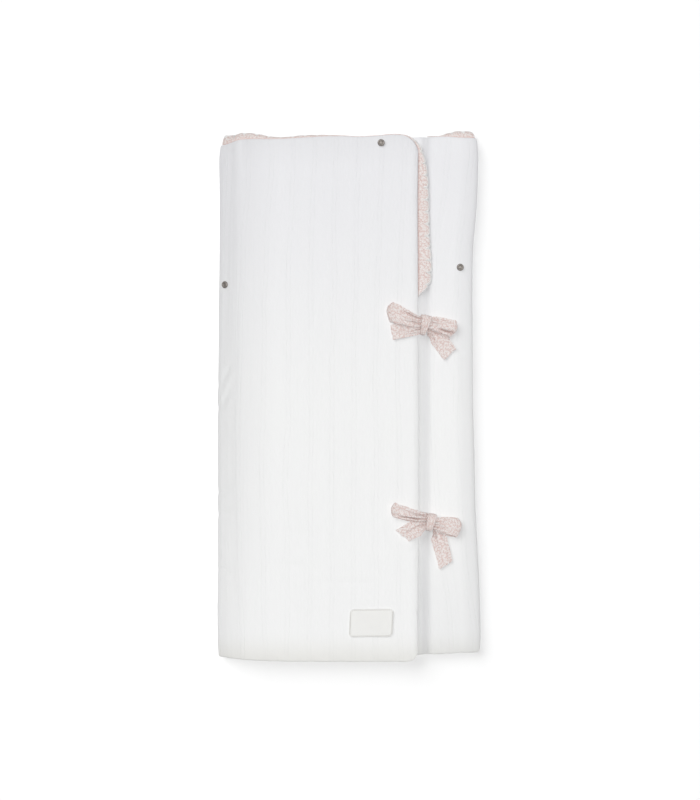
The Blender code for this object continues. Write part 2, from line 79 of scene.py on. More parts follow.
def read(rows, key, column, at):
    """Reads one column of a table on the smooth curve through its rows."""
    places = [getattr(row, key) for row in rows]
    values = [getattr(row, column) for row in rows]
    if at <= places[0]:
        return values[0]
    if at >= places[-1]:
        return values[-1]
    part = max(i for i in range(len(rows) - 1) if places[i] <= at)
    step = places[part + 1] - places[part]
    share = (at - places[part]) / step

    def slope(i):
        before = max(0, i - 1)
        after = min(len(rows) - 1, i + 1)
        return (values[after] - values[before]) / (places[after] - places[before])

    rise = (values[part + 1] - values[part]) * ease(share)
    leave = share * (1 - share) ** 2 * step * slope(part)
    arrive = share**2 * (share - 1) * step * slope(part + 1)
    return values[part] + rise + leave + arrive


def level(angle):
    """The level direction at an angle from +X."""
    return Vector((math.cos(angle), math.sin(angle), 0))


def turned(x, y, angle):
    """A level place turned round the origin."""
    return x * math.cos(angle) - y * math.sin(angle), x * math.sin(angle) + y * math.cos(angle)


def oval(centre, side, up, around):
    """Points round a centre, from the oval's two half widths as vectors."""
    turns = spread(0.0, 2 * math.pi, around)[:-1]
    return [centre + side * math.cos(turn) + up * math.sin(turn) for turn in turns]


def as_grid(values, columns):
    """Numbers or points that were listed column by column, as a grid."""
    values = np.array(values)
    return values.reshape(columns, -1, *values.shape[1:])


# %% [markdown]
# ## The table, the light and the camera
# A blanket like this is shown lying flat on a white table, seen from straight above. A long lens
# from three metres keeps the sides straight. A soft light hangs overhead, and a wider, lower one
# stands at the far left, so that every step in the cloth has a soft shadow beside it. Two weaker
# fills from the right and the near end cast no shadows of their own, like light that comes back
# off a studio's walls. A dim white surround fills the rest.

# %% Table top
TABLE_SIZE = 4.0
TABLE_DROP = 0.3 * MM  # keeps the cloth's underside clear of it
TABLE_WHITE = (0.800, 0.800, 0.800, 1.0)
SHADER_INPUTS = {
    "color": "Base Color",
    "rough": "Roughness",
    "metal": "Metallic",
    "specular": "Specular IOR Level",
    "sheen": "Sheen Weight",
    "sheen_rough": "Sheen Roughness",
}


def new_material(name, **values):
    """A material with these plain values set on the shader itself."""
    material = bpy.data.materials.new(name)
    material.use_nodes = True
    shader = material.node_tree.nodes["Principled BSDF"]
    for key, value in values.items():
        shader.inputs[SHADER_INPUTS[key]].default_value = value
    return material


def add_object(name, data):
    made = bpy.data.objects.new(name, data)
    scene.collection.objects.link(made)
    return made


def make_table():
    mesh = bmesh.new()
    bmesh.ops.create_grid(mesh, x_segments=2, y_segments=2, size=TABLE_SIZE / 2)
    data = bpy.data.meshes.new("table_top")
    mesh.to_mesh(data)
    mesh.free()
    data.materials.append(new_material("table_white", color=TABLE_WHITE, rough=1.0, specular=0.0))
    table = add_object("table_top", data)
    table.location.z = -TABLE_DROP


make_table()

# %% Lights
# the direction that a lamp shines from, in degrees from +X and above the table, how far it
# spreads, its share of the light on the table, and whether it casts shadows
Lamp = namedtuple("Lamp", "name toward height spread share shadow")
LAMPS = (
    Lamp("overhead", 90.0, 88.0, 10.0, 0.32, True),
    Lamp("far_left", 137.0, 44.0, 50.0, 0.40, True),
    Lamp("right_fill", 4.0, 38.0, 12.0, 0.28, False),
    Lamp("near_fill", 268.0, 40.0, 20.0, 0.17, False),
)
LAMP_DISTANCE = 3.0
SURROUND = (0.98, 0.99, 1.0, 1.0)
SURROUND_STRENGTH = 0.10


def hang_lamp(lamp):
    """A sun that gives the table its share of the light, whatever its height."""
    toward, height = math.radians(lamp.toward), math.radians(lamp.height)
    place = level(toward) * math.cos(height) + Vector((0, 0, math.sin(height)))
    light = bpy.data.lights.new(lamp.name, "SUN")
    light.angle = math.radians(lamp.spread)
    light.energy = lamp.share * math.pi / math.sin(height)
    light.use_shadow = lamp.shadow
    holder = add_object(f"{lamp.name}_light", light)
    holder.location = place * LAMP_DISTANCE
    holder.rotation_euler = place.to_track_quat("Z", "Y").to_euler()


for lamp in LAMPS:
    hang_lamp(lamp)
surround = bpy.data.worlds.new("surround")
surround.use_nodes = True
sky = surround.node_tree.nodes["Background"]
sky.inputs["Color"].default_value = SURROUND
sky.inputs["Strength"].default_value = SURROUND_STRENGTH
scene.world = surround
print("lights:", ", ".join(lamp.name for lamp in LAMPS))

# %% Camera
CAMERA_HEIGHT = 3.0
SEEN_HEIGHT = 0.03  # height above the table of what the camera's scale is set for
SEEN_LENGTH = 1.12  # length of the view there
VIEW_CENTRE = (0.0014, -0.0049)
SENSOR = 36.0

camera_data = bpy.data.cameras.new("camera")
camera_data.sensor_width = SENSOR
camera_data.lens = SENSOR * (CAMERA_HEIGHT - SEEN_HEIGHT) / SEEN_LENGTH
camera = add_object("camera", camera_data)
camera.location = (*VIEW_CENTRE, CAMERA_HEIGHT)
scene.camera = camera
scene.view_settings.view_transform = "Standard"
print(f"lens {camera_data.lens:.1f} mm at {CAMERA_HEIGHT} m")

# %% [markdown]
# ## The finishes
# Every finish is worked out from a UV map that holds real lengths on the flat cloth, in metres:
# across the cloth and along it. A weave can then be given its true pitch, and it follows the
# cloth round the folds. The two classes below keep each recipe short: a value that nodes work
# out can be added and multiplied like a number.

# %% Node helpers
# the point attribute that holds each piece's painted shade
FOLD_SHADE = "fold_shade"


class Value:
    """What one output of a node gives. Arithmetic on it adds more nodes."""

    def __init__(self, finish, socket):
        self.finish = finish
        self.socket = socket

    def maths(self, operation, other=0.0):
        return self.finish.add("Math", {0: self, 1: other}, operation=operation)

    def also(self, output):
        """Another output of the same node."""
        return Value(self.finish, self.socket.node.outputs[output])

    def wave(self, pitch):
        """A sine wave along this value."""
        return (self * (2 * math.pi / pitch)).maths("SINE")

    def __add__(self, other):
        return self.maths("ADD", other)

    def __sub__(self, other):
        return self.maths("SUBTRACT", other)

    def __mul__(self, other):
        return self.maths("MULTIPLY", other)


class Finish:
    """A material and the nodes that work out its colour and its bumps."""

    def __init__(self, name, **values):
        self.material = new_material(name, **values)
        self.nodes = self.material.node_tree.nodes
        self.links = self.material.node_tree.links
        self.place = self.add("UVMap", {}, uv_map="flat_cloth")
        self.across = self.add("SeparateXYZ", {0: self.place})
        self.along = self.across.also(1)

    def plug(self, source, target):
        """Feeds an input with another node's output or with a plain number."""
        if isinstance(source, Value):
            self.links.new(source.socket, target)
        else:
            target.default_value = source

    def add(self, kind, inputs, output=0, **settings):
        """Adds a node, feeds its inputs and gives one of its outputs."""
        node = self.nodes.new(f"ShaderNode{kind}")
        for key, value in settings.items():
            setattr(node, key, value)
        for key, source in inputs.items():
            self.plug(source, node.inputs[key])
        return Value(self, node.outputs[output])

    def noise(self, scale, detail=2.0):
        """Noise that is finer or coarser across the cloth than along it. Middle value 0.5."""
        place = self.add("Mapping", {"Vector": self.place, "Scale": scale})
        return self.add("TexNoise", {"Vector": place, "Scale": 1.0, "Detail": detail})

    def yarns(self, pitch):
        """A plain weave."""
        return self.across.wave(pitch) * self.along.wave(pitch)

    def fall_off(self, value, full, none):
        """1 up to the value `full`, then down to 0 at `none`."""
        inputs = {"Value": value, "From Min": full, "From Max": none, "To Min": 1.0, "To Max": 0.0}
        return self.add("MapRange", inputs, interpolation_type="SMOOTHSTEP")

    def blend(self, factor, first, second):
        return self.add("Mix", {0: factor, 6: first, 7: second}, 2, data_type="RGBA")

    def fold_shade(self):
        """The painted shade that the piece gives each place."""
        return self.add("Attribute", {}, "Fac", attribute_name=FOLD_SHADE)

    def surface(self, color, height, depth):
        """Wires a colour and a bump of that depth in metres into the shader."""
        shader = self.nodes["Principled BSDF"]
        self.plug(self.add("Bump", {"Distance": depth, "Height": height}), shader.inputs["Normal"])
        self.plug(color, shader.inputs["Base Color"])
        print("finish:", self.material.name)
        return self.material


# %% [markdown]
# ### Striped cotton muslin
# The muslin is an open, crinkled gauze. A pair of tighter lines runs down the cloth every 31
# millimetres, and between them the cloth has fine, uneven, lengthwise crinkles. The sum of a few
# simple patterns does this: narrow noise for the crinkles, the distance to the nearest stripe for
# the lines, and two sine waves for the yarns.

# %% Muslin
STRIPE_PITCH = 31.5 * MM
FIRST_STRIPE = 5.0 * MM  # from the flap's free edge
STRIPE_WANDER = 16.0 * MM
LINE_FROM_STRIPE = 2.8 * MM  # each stripe is a pair of lines, this far to each side
LINE_HALF_WIDTH = 0.9 * MM
YARN_PITCH = 1.1 * MM
CRINKLE_SCALE = (420.0, 9.0, 1.0)
SLUB_SCALE = (900.0, 60.0, 1.0)
WANDER_SCALE = (9.0, 5.0, 1.0)
MUSLIN_BUMP = 0.35 * MM
MUSLIN = (0.716, 0.718, 0.716, 1.0)
# painted shade and tint of the light: cooler and darker towards the far end, warmer and darker at the
# near hem
MUSLIN_COOL_SHADE = (0.668, 0.668, 0.684, 1.0)
MUSLIN_WARM_SHADE = (0.672, 0.668, 0.646, 1.0)
MUSLIN_DARK = (0.35, 0.35, 0.36, 1.0)
COOL_FROM, COOL_TO = -0.05, 0.36  # Y where the painted cool shade starts, and is at its strongest
WARM_TO, WARM_FROM = -0.372, -0.325
# how dark the painted fold shade makes the muslin
SHADE_DEPTH = 0.24


def stripe_distance(cloth):
    """Metres from the nearest stripe's middle, with a little wander."""
    moved = cloth.across + cloth.noise(WANDER_SCALE) * STRIPE_WANDER
    turns = (moved - FIRST_STRIPE) * (1.0 / STRIPE_PITCH)
    return (turns - turns.maths("ROUND")).maths("ABSOLUTE") * STRIPE_PITCH


def make_muslin():
    sheen = {"sheen": 0.05, "sheen_rough": 0.6}
    cloth = Finish("striped_muslin", color=MUSLIN, rough=0.92, specular=0.2, **sheen)
    crinkle = cloth.noise(CRINKLE_SCALE, 3.0)
    far = stripe_distance(cloth)
    # the stripes' lines are grooves in the bump, and the shade below darkens them: a painted shade
    line = cloth.fall_off((far - LINE_FROM_STRIPE).maths("ABSOLUTE"), 0.0, LINE_HALF_WIDTH)
    band = cloth.fall_off(far, LINE_FROM_STRIPE, LINE_FROM_STRIPE + LINE_HALF_WIDTH)
    yarns = cloth.yarns(YARN_PITCH)
    height = crinkle + line * -0.45 + cloth.noise(SLUB_SCALE) * 0.35 + yarns * 0.10
    # painted shade: cooler and darker towards the far end, warmer and darker at the near hem
    color = cloth.blend(cloth.fall_off(cloth.along, COOL_FROM, COOL_TO), MUSLIN_COOL_SHADE, MUSLIN)
    color = cloth.blend(cloth.fall_off(cloth.along, WARM_TO, WARM_FROM), color, MUSLIN_WARM_SHADE)
    # the fold shade is painted shade that the blanket's points carry, beside the folds and the flap's
    # edge
    shade = line * 0.012 + band * 0.007 + crinkle * 0.05 + cloth.fold_shade() * SHADE_DEPTH
    return cloth.surface(cloth.blend(shade, color, MUSLIN_DARK), height, MUSLIN_BUMP)


muslin = make_muslin()

# %% [markdown]
# ### Printed cotton
# The trim and the ties share one small floral print: pale five-petalled blossoms and dots on
# pink. Voronoi cells scatter the blossoms. Inside a cell the petals come from the angle round its
# middle: the blossom's edge moves in and out five times in one turn.

# %% Print
BLOSSOM_PITCH = 3.4 * MM
DOT_PITCH = 1.9 * MM
PRINT_YARN_PITCH = 0.5 * MM
LEAF_SCALE = (520.0, 520.0, 1.0)
RUMPLE_SCALE = (160.0, 60.0, 1.0)
PRINT_BUMP = 0.30 * MM
PETALS = 5
PRINT_PINK = (0.580, 0.466, 0.440, 1.0)
PRINT_PALE = (0.685, 0.665, 0.650, 1.0)
PRINT_DEEP = (0.480, 0.320, 0.295, 1.0)
PRINT_SHADE = (0.36, 0.16, 0.125, 1.0)  # painted shade: in the bottom of a fold, near a knot and under a loop


def scatter(cloth, pitch, randomness):
    """Distance and angle from the middle of the nearest scattered motif, in pitches."""
    place = cloth.add("VectorMath", {0: cloth.place, "Scale": 1.0 / pitch}, operation="SCALE")
    inputs = {"Vector": place, "Scale": 1.0, "Randomness": randomness}
    far = cloth.add("TexVoronoi", inputs, "Distance", voronoi_dimensions="2D")
    offset = cloth.add("VectorMath", {0: place, 1: far.also("Position")}, operation="SUBTRACT")
    right = cloth.add("SeparateXYZ", {0: offset})
    return far, right.also(1).maths("ARCTAN2", right)


def make_print():
    cloth = Finish("printed_cotton", color=PRINT_PINK, rough=0.85, specular=0.25)
    far, angle = scatter(cloth, BLOSSOM_PITCH, 0.75)
    dot_far, _ = scatter(cloth, DOT_PITCH, 0.9)
    petal_edge = (angle * PETALS).maths("COSINE") * 0.10 + 0.34
    layers = (
        (cloth.fall_off(cloth.noise(LEAF_SCALE), 0.36, 0.42), PRINT_DEEP),  # leaves
        (cloth.fall_off(dot_far, 0.16, 0.26), PRINT_PALE),
        (cloth.fall_off(far - petal_edge, -0.02, 0.05), PRINT_PALE),
        (cloth.fall_off(far, 0.06, 0.12), PRINT_DEEP),  # a blossom's eye
        (cloth.fall_off(cloth.along, 0.5 * MM, 2.2 * MM) * 0.5, PRINT_DEEP),  # painted shade along the seam
        # painted shade of the ribbons and knots, from the points' fold shade
        (cloth.fold_shade(), PRINT_SHADE),
    )
    color = PRINT_PINK
    for share, ink in layers:
        color = cloth.blend(share, color, ink)
    height = cloth.noise(RUMPLE_SCALE, 3.0) + cloth.yarns(PRINT_YARN_PITCH) * 0.12
    return cloth.surface(color, height, PRINT_BUMP)


printed_cotton = make_print()

# %% [markdown]
# ### Thread, metal and patch cloth
# The smaller pieces need three more finishes: glossy embroidery thread with slanted fibres, the
# worn grey metal of the ring snaps, and the plain twill of the sewn-on patch.

# %% Thread, metal and patch
THREAD = (0.765, 0.755, 0.742, 1.0)
SEAM_THREAD = (0.50, 0.47, 0.43, 1.0)
METAL = (0.27, 0.25, 0.23, 1.0)
METAL_DARK = (0.22, 0.20, 0.185, 1.0)
PATCH = (0.712, 0.710, 0.694, 1.0)
PATCH_DARK = (0.45, 0.44, 0.42, 1.0)
FIBRE_PITCH = 0.7 * MM
TWILL_PITCH = 0.8 * MM
CLOUD_SCALE = (120.0, 120.0, 1.0)
WORN_SCALE = 900.0
THREAD_BUMP = 0.12 * MM
METAL_BUMP = 0.05 * MM
PATCH_BUMP = 0.12 * MM
EDGE_SHADE_AT_SIDES = (0.6 * MM, 2.2 * MM)  # how far in from its sides the painted edge shade is full, and where it has faded out
EDGE_SHADE_AT_ENDS = (0.4 * MM, 1.6 * MM)
LABEL_WIDE = 61.0 * MM
LABEL_TALL = 39.0 * MM


def make_thread(name, color):
    cloth = Finish(name, color=color, rough=0.55, sheen=0.2)
    fibres = (cloth.across + cloth.along * 2.0).wave(FIBRE_PITCH)
    dark = tuple(0.6 * part for part in color[:3]) + (1.0,)
    # darker in the grooves between the fibres, where the bump is low: a painted shade
    return cloth.surface(cloth.blend(fibres * -0.04 + 0.05, color, dark), fibres, THREAD_BUMP)


def make_metal():
    metal = Finish("snap_metal", color=METAL, rough=0.5, metal=0.9)
    worn = metal.add("TexNoise", {"Scale": WORN_SCALE})
    return metal.surface(metal.blend(worn, METAL, METAL_DARK), worn, METAL_BUMP)


def make_patch_cloth():
    cloth = Finish("patch_twill", color=PATCH, rough=0.8, specular=0.25)
    twill = (cloth.across + cloth.along).wave(TWILL_PITCH)
    cloudy = cloth.noise(CLOUD_SCALE)
    from_side = cloth.across.maths("ABSOLUTE") * -1.0 + LABEL_WIDE / 2
    from_end = cloth.along.maths("ABSOLUTE") * -1.0 + LABEL_TALL / 2
    shade = twill * 0.02 + cloudy * 0.06
    # painted shade round the patch's edge, stronger at its sides than at its ends
    shade += cloth.fall_off(from_side, *EDGE_SHADE_AT_SIDES) * 0.42
    shade += cloth.fall_off(from_end, *EDGE_SHADE_AT_ENDS) * 0.22
    return cloth.surface(cloth.blend(shade, PATCH, PATCH_DARK), cloudy + twill * 0.4, PATCH_BUMP)


thread = make_thread("embroidery_thread", THREAD)
seam_thread = make_thread("seam_thread", SEAM_THREAD)
snap_metal = make_metal()
patch_cloth = make_patch_cloth()

# %% [markdown]
# ## The padded blanket
# A folded blanket can be made by simulating a sheet, or by bending a flat grid along a path that
# is known. Here the path is known: three flat layers, two round folds and one slope where the
# flap comes down to the left fold. So each column of the grid is a place on that path, and each
# row a place along the cloth. Tables give the outline, which isn't quite straight anywhere.

# %% The letter fold
LAYER = 11.0 * MM  # thickness of one padded layer
LAYER_GAP = 1.5 * MM
BACK_Z = LAYER / 2
PANEL_Z = BACK_Z + LAYER + LAYER_GAP
FLAP_Z = PANEL_Z + LAYER + LAYER_GAP
PANEL_TOP = PANEL_Z + LAYER / 2
FLAP_TOP = FLAP_Z + LAYER / 2
FOLD_RADIUS = (PANEL_Z - BACK_Z) / 2
FOLD_REACH = FOLD_RADIUS + LAYER / 2
RIGHT_WIDE = 22.0 * MM  # the right fold is flatter: how far its middle line reaches sideways
PANEL_HIDDEN_EDGE = -0.134  # X of the folded-in third's edge, under the flap
RAMP_TILT = math.radians(33.0)  # of the slope above the left fold
BOTTOM_Y = -0.3712
TOP_Y = 0.3667

# X of the outline and of the flap's edge at a share of the length, and half the length of the
# bend at the top of the slope
Side = namedtuple("Side", "share left right flap_edge bend")
SIDES = (
    Side(0.00, -0.1858, 0.1862, 0.0965, 0.0180),
    Side(0.15, -0.1848, 0.1836, 0.0970, 0.0180),
    Side(0.30, -0.1846, 0.1776, 0.0975, 0.0170),
    Side(0.60, -0.1836, 0.1742, 0.0970, 0.0100),
    Side(0.78, -0.1828, 0.1744, 0.0964, 0.0062),
    Side(0.88, -0.1820, 0.1802, 0.0962, 0.0050),
    Side(1.00, -0.1835, 0.1825, 0.0975, 0.0050),
)


def side_at(column, along):
    """One column of the outline's table, at a share of the cloth's length."""
    return read(SIDES, "share", column, along)


def ramp_drop(distance, bend):
    """How far the slope has come down, at a distance past its top, with a rounded start."""
    if distance <= -bend:
        return 0.0
    if distance >= bend:
        return distance * math.tan(RAMP_TILT)
    return (distance + bend) ** 2 / (4 * bend) * math.tan(RAMP_TILT)


def fold_point(stretch, share, along):
    """X and Z of the middle of the cloth at one place of the letter fold."""
    left_axis = side_at("left", along) + FOLD_REACH
    right_axis = side_at("right", along) - RIGHT_WIDE - LAYER / 2
    axis_z = BACK_Z + FOLD_RADIUS
    if stretch == "back":
        return mix(left_axis, right_axis, share), BACK_Z
    if stretch == "panel":
        return mix(right_axis, PANEL_HIDDEN_EDGE, share), PANEL_Z
    if stretch == "right_fold":
        turn = math.pi * (share - 0.5)
        return right_axis + RIGHT_WIDE * math.cos(turn), axis_z + FOLD_RADIUS * math.sin(turn)
    if stretch == "left_fold":
        turn = math.pi / 2 + RAMP_TILT + (math.pi - RAMP_TILT) * share
        return left_axis + FOLD_RADIUS * math.cos(turn), axis_z + FOLD_RADIUS * math.sin(turn)
    ramp_end = left_axis - FOLD_RADIUS * math.sin(RAMP_TILT)
    ramp_height = FLAP_Z - axis_z - FOLD_RADIUS * math.cos(RAMP_TILT)
    ramp_top = ramp_end + ramp_height / math.tan(RAMP_TILT)
    bend = side_at("bend", along)
    if stretch == "flap":
        return mix(side_at("flap_edge", along), ramp_top + bend, share), FLAP_Z
    x = ramp_top + bend + (ramp_end - ramp_top - bend) * share
    return x, FLAP_Z - ramp_drop(ramp_top - x, bend)


def length_share_at(y):
    return (y - BOTTOM_Y) / (TOP_Y - BOTTOM_Y)


# %% The hems
# Y of the two hems at a place across the cloth: 0 to 1 is the flap with its slope, 1 to 2 the
# back and 2 to 3 the panel, as the folded-in third is called
Hem = namedtuple("Hem", "place top bottom")
RAMP_PLACE = 0.9  # where the slope begins
HEMS = (
    Hem(0.00, 0.3440, -0.3625),
    Hem(0.02, 0.3560, -0.3690),
    Hem(0.06, 0.3640, BOTTOM_Y),
    Hem(0.12, TOP_Y, BOTTOM_Y),
    Hem(0.21, 0.3650, BOTTOM_Y),
    Hem(0.30, 0.3637, BOTTOM_Y),
    Hem(0.39, 0.3645, BOTTOM_Y),
    Hem(0.50, 0.3640, BOTTOM_Y),
    Hem(0.72, 0.3606, -0.3708),
    Hem(0.90, 0.3600, -0.3690),
    Hem(1.00, 0.3540, -0.3660),
    Hem(1.20, 0.3580, -0.3630),
    Hem(1.80, 0.3590, -0.3610),
    Hem(2.00, 0.3640, -0.3600),
    Hem(2.06, 0.3655, -0.3612),
    Hem(2.20, 0.3645, -0.3630),
    Hem(2.50, 0.3590, -0.3640),
    Hem(3.00, 0.3570, -0.3640),
)


def hem_y(stretch, share, end):
    """Y of the top or bottom hem at one place of the letter fold."""
    place = {
        "flap": RAMP_PLACE * share,
        "ramp": mix(RAMP_PLACE, 1.0, share),
        "left_fold": 1.0,
        "back": 1.0 + share,
        "right_fold": 2.0,
        "panel": 2.0 + share,
    }
    return read(HEMS, "place", end, place[stretch])


# %% [markdown]
# The grid is fine where the cloth shows and coarse where it lies hidden, and it is finer again
# beside the seam, where the padding thins to the turned edge. A parabola describes that thinning:
# steep at the seam, and level 26 millimetres in from the hems and 11 millimetres in from the
# flap's free edge.

# %% The grid of the cloth
SEAM_SHARE = 0.58  # share of the thickness that is left at the turned seam
HEM_MARGIN = 26.0 * MM  # how far in from the hems the padding is back to full
EDGE_MARGIN = 11.0 * MM  # the same from the flap's free edge and the hidden edge
EDGE_ROUND = 1.3 * MM  # the seam's own roundness, inside the outline
EDGE_DROOP = 1.0 * MM  # how far the flap's free edge sags onto the panel
HEM_SHARES = (0.0, 0.06, 0.14, 0.24, 0.36, 0.50, 0.66, 0.83)
EDGE_SHARES = (0.0, 0.2, 0.45, 0.7)
ROW_STEP = 4.6 * MM  # the rows between the seam margins are a little closer together than this
Stretch = namedtuple("Stretch", "name steps")
STRETCHES = (
    Stretch("flap", 100),
    Stretch("ramp", 20),
    Stretch("left_fold", 13),
    Stretch("back", 26),
    Stretch("right_fold", 12),
    Stretch("panel", 48),
)
PANEL_SHOWS = 0.34  # share of the folded-in third that can be seen
PANEL_SHOWING_STEPS = 34


def cloth_stations():
    """Places along the cloth's width, each a stretch of the letter fold and a share of it."""
    flap_margin = EDGE_MARGIN / (SIDES[0].flap_edge - SIDES[0].left - FOLD_REACH)
    panel_margin = EDGE_MARGIN / (SIDES[0].right - PANEL_HIDDEN_EDGE)
    stations = [("flap", share * flap_margin) for share in EDGE_SHARES]
    for name, steps in STRETCHES:
        if name == "flap":
            shares = spread(flap_margin, 1.0, steps)
        elif name == "panel":
            shares = spread(0.0, PANEL_SHOWS, PANEL_SHOWING_STEPS)
            shares += spread(PANEL_SHOWS, 1.0 - panel_margin, steps - PANEL_SHOWING_STEPS)[1:]
        else:
            shares = spread(0.0, 1.0, steps)[1 if name == "ramp" else 0:]
        if name in ("left_fold", "right_fold"):
            shares = shares[1:-1]
        stations += [(name, share) for share in shares]
    stations += [("panel", 1.0 - share * panel_margin) for share in reversed(EDGE_SHARES)]
    return stations


def length_places(bottom, top):
    """Y of the rows between the two hems, closer together in the seam margins."""
    margins = [HEM_MARGIN * share for share in HEM_SHARES]
    steps = round((TOP_Y - BOTTOM_Y) / ROW_STEP)
    places = [bottom + margin for margin in margins]
    places += spread(bottom + HEM_MARGIN, top - HEM_MARGIN, steps)
    places += [top - margin for margin in reversed(margins)]
    return places


def padding(distance, margin):
    """Share of the full thickness at a distance from a seam, on a parabola."""
    inner = 1.0 - min(1.0, max(0.0, distance / margin))
    return SEAM_SHARE + (1.0 - SEAM_SHARE) * (1.0 - inner**2)


def sink(share):
    """How much lower the middle lies where the padding is thin, as the underside stays level."""
    return LAYER * (1.0 - share) / 2


def bend_cloth():
    """The middle of the folded cloth, its thickness there and the distance to the seam."""
    middle = []
    thickness = []
    to_seam = []
    for stretch, share in cloth_stations():
        bottom = hem_y(stretch, share, "bottom") + EDGE_ROUND
        top = hem_y(stretch, share, "top") - EDGE_ROUND
        for y in length_places(bottom, top):
            along = length_share_at(y)
            x, z = fold_point(stretch, share, along)
            near = min(y - bottom, top - y)
            full = padding(near, HEM_MARGIN)
            if stretch in ("flap", "ramp"):
                to_edge = fold_point("flap", 0.0, along)[0] - x
                x -= EDGE_ROUND * (1.0 - ease(to_edge / HEM_MARGIN))
            elif stretch == "panel":
                to_edge = x - PANEL_HIDDEN_EDGE
            else:
                to_edge = HEM_MARGIN
            full = min(full, padding(to_edge, EDGE_MARGIN))
            if stretch == "flap":
                z -= EDGE_DROOP * (1.0 - ease(to_edge / HEM_MARGIN))
            middle.append((x, y, z - sink(full)))
            thickness.append(LAYER * full)
            to_seam.append(min(near, to_edge))
    return [as_grid(values, len(cloth_stations())) for values in (middle, thickness, to_seam)]


cloth_middle, cloth_thickness, cloth_to_seam = bend_cloth()
print("grid of the cloth:", cloth_middle.shape[0], "columns by", cloth_middle.shape[1], "rows")

# %% [markdown]
# ### Closing a sheet
# The blanket, the trim and the ribbons are all sheets: a front and a back that are joined by a
# rim. The function below builds one from two grids of points. The rim is a half circle, so that
# no edge looks like cut board, and the UV map holds each point's place on the flat cloth. The
# short functions after it serve the other pieces too.

# %% A closed sheet from two grids
RIM_TURNS = (45.0, 90.0, 135.0)  # degrees from the front round to the back


def across_normals(middle):
    """The direction of the front at each point of a grid."""
    over = np.gradient(middle, axis=0)
    up = np.gradient(middle, axis=1)
    normals = np.cross(up, over)
    return normals / np.linalg.norm(normals, axis=2, keepdims=True)


def border_of(columns, rows):
    """The border of a grid, in order, as pairs of column and row."""
    border = [(column, 0) for column in range(columns)]
    border += [(columns - 1, row) for row in range(1, rows)]
    border += [(column, rows - 1) for column in range(columns - 2, -1, -1)]
    border += [(0, row) for row in range(rows - 2, 0, -1)]
    return border


def close_sheet(name, front, back, flat, finish, round_edge=1.0):
    """Joins a front and a back grid into one closed sheet with a rounded rim."""
    columns, rows = front.shape[:2]
    border = border_of(columns, rows)
    inside = [(min(max(c, 1), columns - 2), min(max(r, 1), rows - 2)) for c, r in border]
    middle = (front + back) / 2
    points = [front.reshape(-1, 3), back.reshape(-1, 3)]
    places = [flat.reshape(-1, 2), flat.reshape(-1, 2)]
    for turn in RIM_TURNS:
        lift, push = math.cos(math.radians(turn)), math.sin(math.radians(turn)) * round_edge
        ring = []
        for here, inner in zip(border, inside):
            half = (front[here] - back[here]) / 2
            out = middle[here] - middle[inner]
            out = out / np.linalg.norm(out)
            ring.append(middle[here] + half * lift + out * (np.linalg.norm(half) * push))
        points.append(np.array(ring))
        places.append(np.array([flat[here] for here in border]))
    count = columns * rows
    faces = []
    for column in range(columns - 1):
        for row in range(rows - 1):
            corner = column * rows + row
            quad = (corner, corner + rows, corner + rows + 1, corner + 1)
            faces.append(quad)
            faces.append(tuple(index + count for index in reversed(quad)))
    rings = [[column * rows + row for column, row in border]]
    rings += [list(range(2 * count + turn * len(border), 2 * count + (turn + 1) * len(border)))
              for turn in range(len(RIM_TURNS))]
    rings.append([index + count for index in rings[0]])
    for upper, lower in zip(rings, rings[1:]):
        for i in range(len(border)):
            after = (i + 1) % len(border)
            faces.append((upper[after], upper[i], lower[i], lower[after]))
    return new_piece(name, np.concatenate(points), faces, np.concatenate(places), finish)


def new_piece(name, points, faces, places, finish):
    """A smooth mesh object with its UV map and its finish."""
    data = bpy.data.meshes.new(name)
    data.from_pydata([tuple(point) for point in points], [], faces)
    mesh = bmesh.new()
    mesh.from_mesh(data)
    bmesh.ops.recalc_face_normals(mesh, faces=mesh.faces)
    mesh.to_mesh(data)
    mesh.free()
    layer = data.uv_layers.new(name="flat_cloth")
    for loop in data.loops:
        layer.data[loop.index].uv = places[loop.vertex_index]
    data.shade_smooth()
    data.materials.append(finish)
    return add_object(name, data)


def tube_faces(rings, around, base=0):
    """The faces of a closed tube of rings of points, the first point being number `base`."""
    faces = [tuple(base + step for step in reversed(range(around)))]
    for ring in range(rings - 1):
        start = base + ring * around
        for step in range(around):
            here, after = start + step, start + (step + 1) % around
            faces.append((here, after, after + around, here + around))
    last = base + (rings - 1) * around
    faces.append(tuple(range(last, last + around)))
    return faces


def shade_piece(piece, shades):
    """Gives the first points of a piece how much painted shade each place has, for the finish to read.
    """
    values = np.zeros(len(piece.data.vertices))
    values[: len(shades)] = shades
    layer = piece.data.attributes.new(FOLD_SHADE, "FLOAT", "POINT")
    layer.data.foreach_set("value", values)


def sew_on(piece, node):
    """Fixes a piece to the blanket's body and hides the imported part that it stands for."""
    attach(piece, "root")
    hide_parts(node)


def count_triangles(piece):
    return sum(len(face.vertices) - 2 for face in piece.data.polygons)
